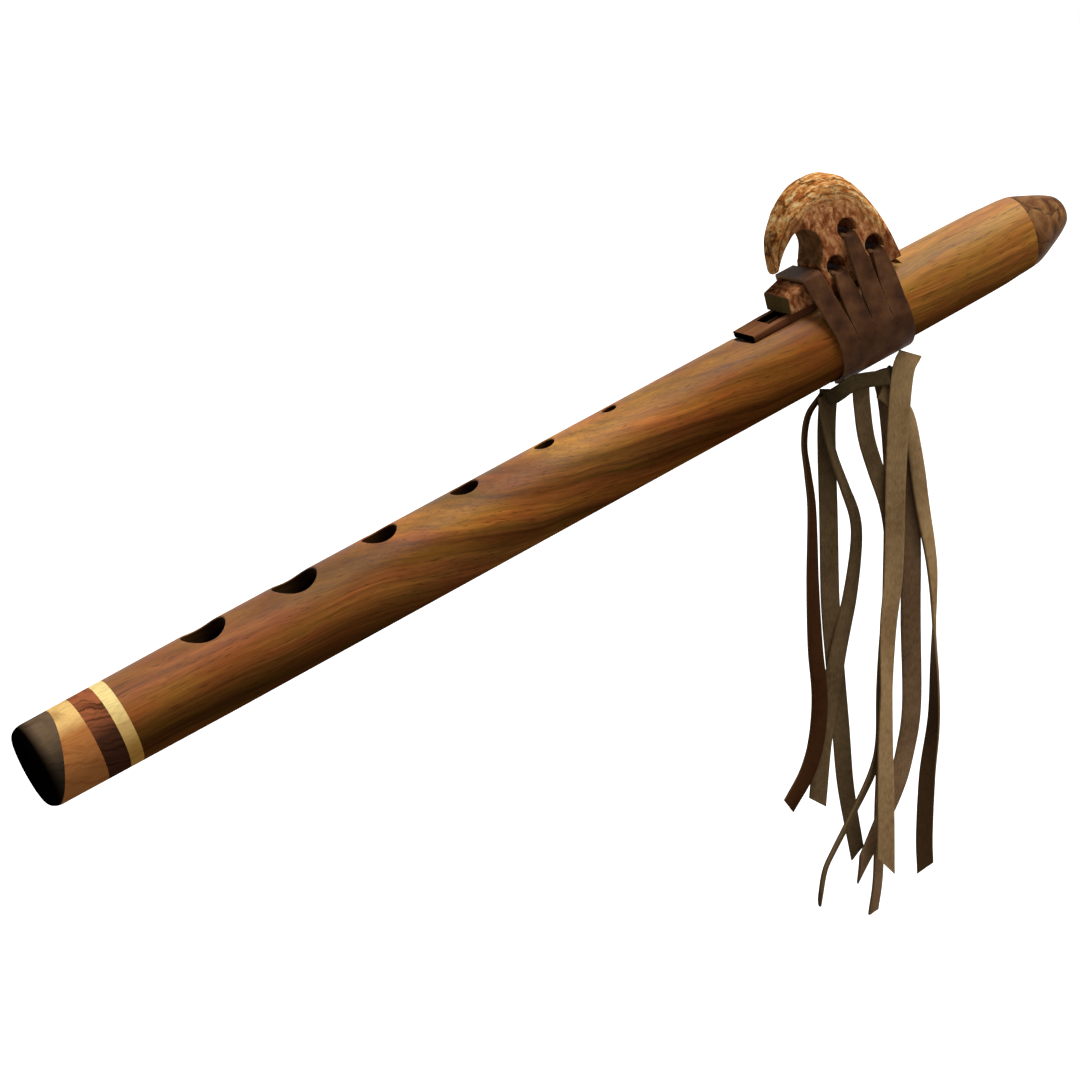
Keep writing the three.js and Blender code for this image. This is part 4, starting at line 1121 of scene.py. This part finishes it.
# The routes are those of the solids, from under the flute to the cut end. Turns are degrees about the way
# down, widths are metres.
THONGS = [
    dict(
        route=[(0.148, 0.0005, 0.043), (0.1425, 0.0003, 0.036), (0.1407, -0.0003, 0.026),
               (0.1422, -0.0006, 0.015), (0.144, -0.0006, 0.002), (0.1448, -0.0006, -0.025),
               (0.1462, -0.0006, -0.048), (0.1482, -0.0006, -0.066), (0.1472, -0.0006, -0.082),
               (0.1435, -0.0006, -0.094), (0.1363, -0.0006, -0.1055)],
        turns=[(0, 40), (0.15, 48), (0.4, 22), (0.6, 5), (0.8, -10), (1, 5)],
        widths=[(0, 0.0052), (0.3, 0.0056), (0.6, 0.0062), (1, 0.0062)],
        hide=dyed_hide, slant=0.001, cupping=0.0003,
    ),
    dict(
        route=[(0.1515, 0.0026, 0.0445), (0.151, 0.0027, 0.028), (0.1526, 0.003, -0.003),
               (0.154, 0.0034, -0.032), (0.1564, 0.0034, -0.056), (0.1592, 0.0034, -0.08),
               (0.1617, 0.0034, -0.102), (0.167, 0.0034, -0.1275)],
        turns=[(0, -15), (0.3, -20), (0.7, -10), (1, 0)],
        widths=[(0, 0.0066), (0.5, 0.007), (0.8, 0.0066), (1, 0.0058)],
        hide=olive_hide, slant=-0.002, cupping=-0.0003,
    ),
    dict(
        route=[(0.1463, -0.0016, 0.043), (0.1479, -0.0016, 0.0345), (0.152, -0.0016, 0.021),
               (0.1568, -0.0014, 0.0095), (0.162, 0, -0.002), (0.163, 0.0006, -0.013),
               (0.1612, 0.0014, -0.031), (0.157, 0.0014, -0.0495), (0.1536, 0.0014, -0.068),
               (0.151, 0.0014, -0.084), (0.1492, 0.0014, -0.106)],
        turns=[(0, 45), (0.25, 30), (0.45, 10), (0.7, -10), (1, -15)],
        widths=[(0, 0.005), (0.4, 0.0056), (0.7, 0.0068), (1, 0.0066)],
        hide=olive_hide, slant=0.0015, cupping=0.0004,
    ),
    dict(
        route=[(0.1576, -0.0093, 0.047), (0.1583, -0.0093, 0.04), (0.1608, -0.0084, 0.028),
               (0.1654, -0.0076, 0.016), (0.1703, -0.0073, 0.0036), (0.1726, -0.0073, -0.009),
               (0.173, -0.0073, -0.024), (0.171, -0.0073, -0.044), (0.1696, -0.0073, -0.064),
               (0.1692, -0.0073, -0.083), (0.1663, -0.0073, -0.0945), (0.1585, -0.0073, -0.109),
               (0.1512, -0.0073, -0.1215), (0.1475, -0.0072, -0.129), (0.1457, -0.0071, -0.1395)],
        turns=[(0, -15), (0.3, 0), (0.6, 20), (0.8, 30), (1, 40)],
        widths=[(0, 0.0062), (0.5, 0.006), (0.8, 0.004), (1, 0.0024)],
        hide=olive_hide, slant=0.003, cupping=-0.0003,
    ),
    dict(
        route=[(0.177, -0.0104, 0.0575), (0.174, -0.0105, 0.051), (0.1723, -0.011, 0.034),
               (0.1716, -0.011, 0.01), (0.1715, -0.011, -0.02), (0.1694, -0.011, -0.044),
               (0.1692, -0.011, -0.08), (0.17, -0.011, -0.105), (0.1706, -0.011, -0.129)],
        turns=[(0, -20), (0.4, -25), (0.65, 20), (0.85, -5), (1, -10)],
        widths=[(0, 0.0082), (0.3, 0.0072), (0.6, 0.0064), (1, 0.0068)],
        hide=light_hide, slant=0.0035, cupping=-0.0004, start_slant=-0.0008,
    ),
    dict(
        route=[(0.167, -0.007, 0.044), (0.1715, -0.007, 0.041), (0.178, -0.007, 0.0355),
               (0.1815, -0.0073, 0.022), (0.1851, -0.0073, 0.0025), (0.19, -0.0074, -0.022),
               (0.1913, -0.0075, -0.048), (0.192, -0.0075, -0.076), (0.1896, -0.0075, -0.098),
               (0.1888, -0.0075, -0.12), (0.1894, -0.0075, -0.133)],
        turns=[(0, 5), (0.2, -5), (0.4, 30), (0.52, 62), (0.6, 84), (0.7, 100), (0.85, 140), (1, 158)],
        widths=[(0, 0.0052), (0.3, 0.0062), (1, 0.0062)],
        hide=light_hide, slant=0.002, cupping=0.0003,
    ),
    dict(
        route=[(0.175, -0.003, 0.052), (0.178, -0.0033, 0.038), (0.1805, -0.0042, 0.014),
               (0.1825, -0.0044, -0.01), (0.183, -0.0044, -0.04), (0.1841, -0.0045, -0.072),
               (0.1815, -0.0046, -0.09), (0.177, -0.005, -0.104), (0.169, -0.0054, -0.12),
               (0.163, -0.0055, -0.131)],
        turns=[(0, -15), (0.5, -25), (0.8, -15), (1, 10)],
        widths=[(0, 0.0064), (0.5, 0.0074), (0.8, 0.0068), (1, 0.0052)],
        hide=brown_hide, slant=0.005, cupping=0.0003,
    ),
    dict(
        route=[(0.1695, -0.001, 0.0505), (0.173, -0.001, 0.038), (0.1755, -0.0012, 0.0105),
               (0.1753, -0.0014, -0.033), (0.1745, -0.0015, -0.07), (0.1732, -0.0015, -0.107),
               (0.173, -0.0015, -0.135), (0.1713, -0.0015, -0.149)],
        turns=[(0, -10), (0.6, 15), (1, 20)],
        widths=[(0, 0.006), (0.6, 0.0052), (1, 0.0048)],
        hide=brown_hide, slant=-0.001, cupping=-0.0002,
    ),
]

for number, thong in enumerate(THONGS, start=1):
    route = [Vector(p) for p in thong["route"]]
    line, length = smooth_route(route, PATH_POINTS)
    fine_line, _ = smooth_route(route, 3 * PATH_POINTS)
    piece = cut_strap(
        f"cut_thong_{number}", fine_line, length, thong["turns"], thong["widths"], thong["hide"],
        slants=(thong.get("start_slant", 0.0), thong["slant"]), cupping=thong["cupping"], seed=number,
    )
    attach(piece, "tied_block")
    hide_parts(f"thong_{number}")


# Floor and soft studio light. The flute is held in the air, high over a plain pale floor. The floor and the
# world are white to the camera and in reflections, and the floor still takes the flute's shadow.
FLOOR_HEIGHT = -0.62
FLOOR_REACH = 15.0
ROOM_LIGHT = 0.15
WHITE = linear("#ffffff")
# Each lamp's strength, its softness in degrees, and where it comes from.
LAMPS = {"key": (3.4, 30, (0.2, -0.25, 1.0)), "fill": (0.2, 60, (0.1, -0.95, 0.3))}


def white_when_seen(tree, pale, white):
    """One shader for lamps and bounces, and a white one for the camera and for gloss and glass."""
    rays = add(tree, "ShaderNodeLightPath").outputs
    seen = maths(tree, "MAXIMUM", rays["Is Camera Ray"], rays["Is Glossy Ray"])
    shown = maths(tree, "MAXIMUM", seen, rays["Is Transmission Ray"])
    return add(tree, "ShaderNodeMixShader", {0: shown, 1: pale, 2: white}).outputs[0]


# Matt paper sweep, rolled out flat: grey to the lamps, and to the camera pale paper that takes the shadow,
# with a glow that lifts it to white.
floor_material, tree = new_material("white_paper_sweep")
paper = add(tree, "ShaderNodeBsdfDiffuse", {"Color": linear("#848484")})
bright_paper = add(tree, "ShaderNodeBsdfDiffuse", {"Color": linear("#e6e6e6")})
glow = add(tree, "ShaderNodeEmission", {"Strength": 0.55})
lifted = add(tree, "ShaderNodeAddShader", {0: bright_paper.outputs[0], 1: glow.outputs[0]})
add(tree, "ShaderNodeOutputMaterial",
    {"Surface": white_when_seen(tree, paper.outputs[0], lifted.outputs[0])})

floor_mesh = bpy.data.meshes.new("floor")
floor_corners = [(x * FLOOR_REACH, y * FLOOR_REACH, FLOOR_HEIGHT)
                 for x, y in ((-1, -1), (1, -1), (1, 1), (-1, 1))]
floor_mesh.from_pydata(floor_corners, [], [(0, 1, 2, 3)])
floor_mesh.materials.append(floor_material)
floor = placed("floor", floor_mesh)

world = bpy.data.worlds.new("studio")
world.use_nodes = True
world.node_tree.nodes.clear()
dim = add(world.node_tree, "ShaderNodeBackground", {"Color": WHITE, "Strength": ROOM_LIGHT})
white = add(world.node_tree, "ShaderNodeBackground", {"Color": WHITE, "Strength": 1.0})
add(world.node_tree, "ShaderNodeOutputWorld",
    {"Surface": white_when_seen(world.node_tree, dim.outputs[0], white.outputs[0])})
bpy.context.scene.world = world

for name, (strength, softness, comes_from) in LAMPS.items():
    lamp_data = bpy.data.lights.new(name, "SUN")
    lamp_data.energy = strength
    lamp_data.angle = math.radians(softness)
    lamp = placed(name, lamp_data)
    lamp.rotation_euler = Vector(comes_from).to_track_quat("Z", "Y").to_euler()
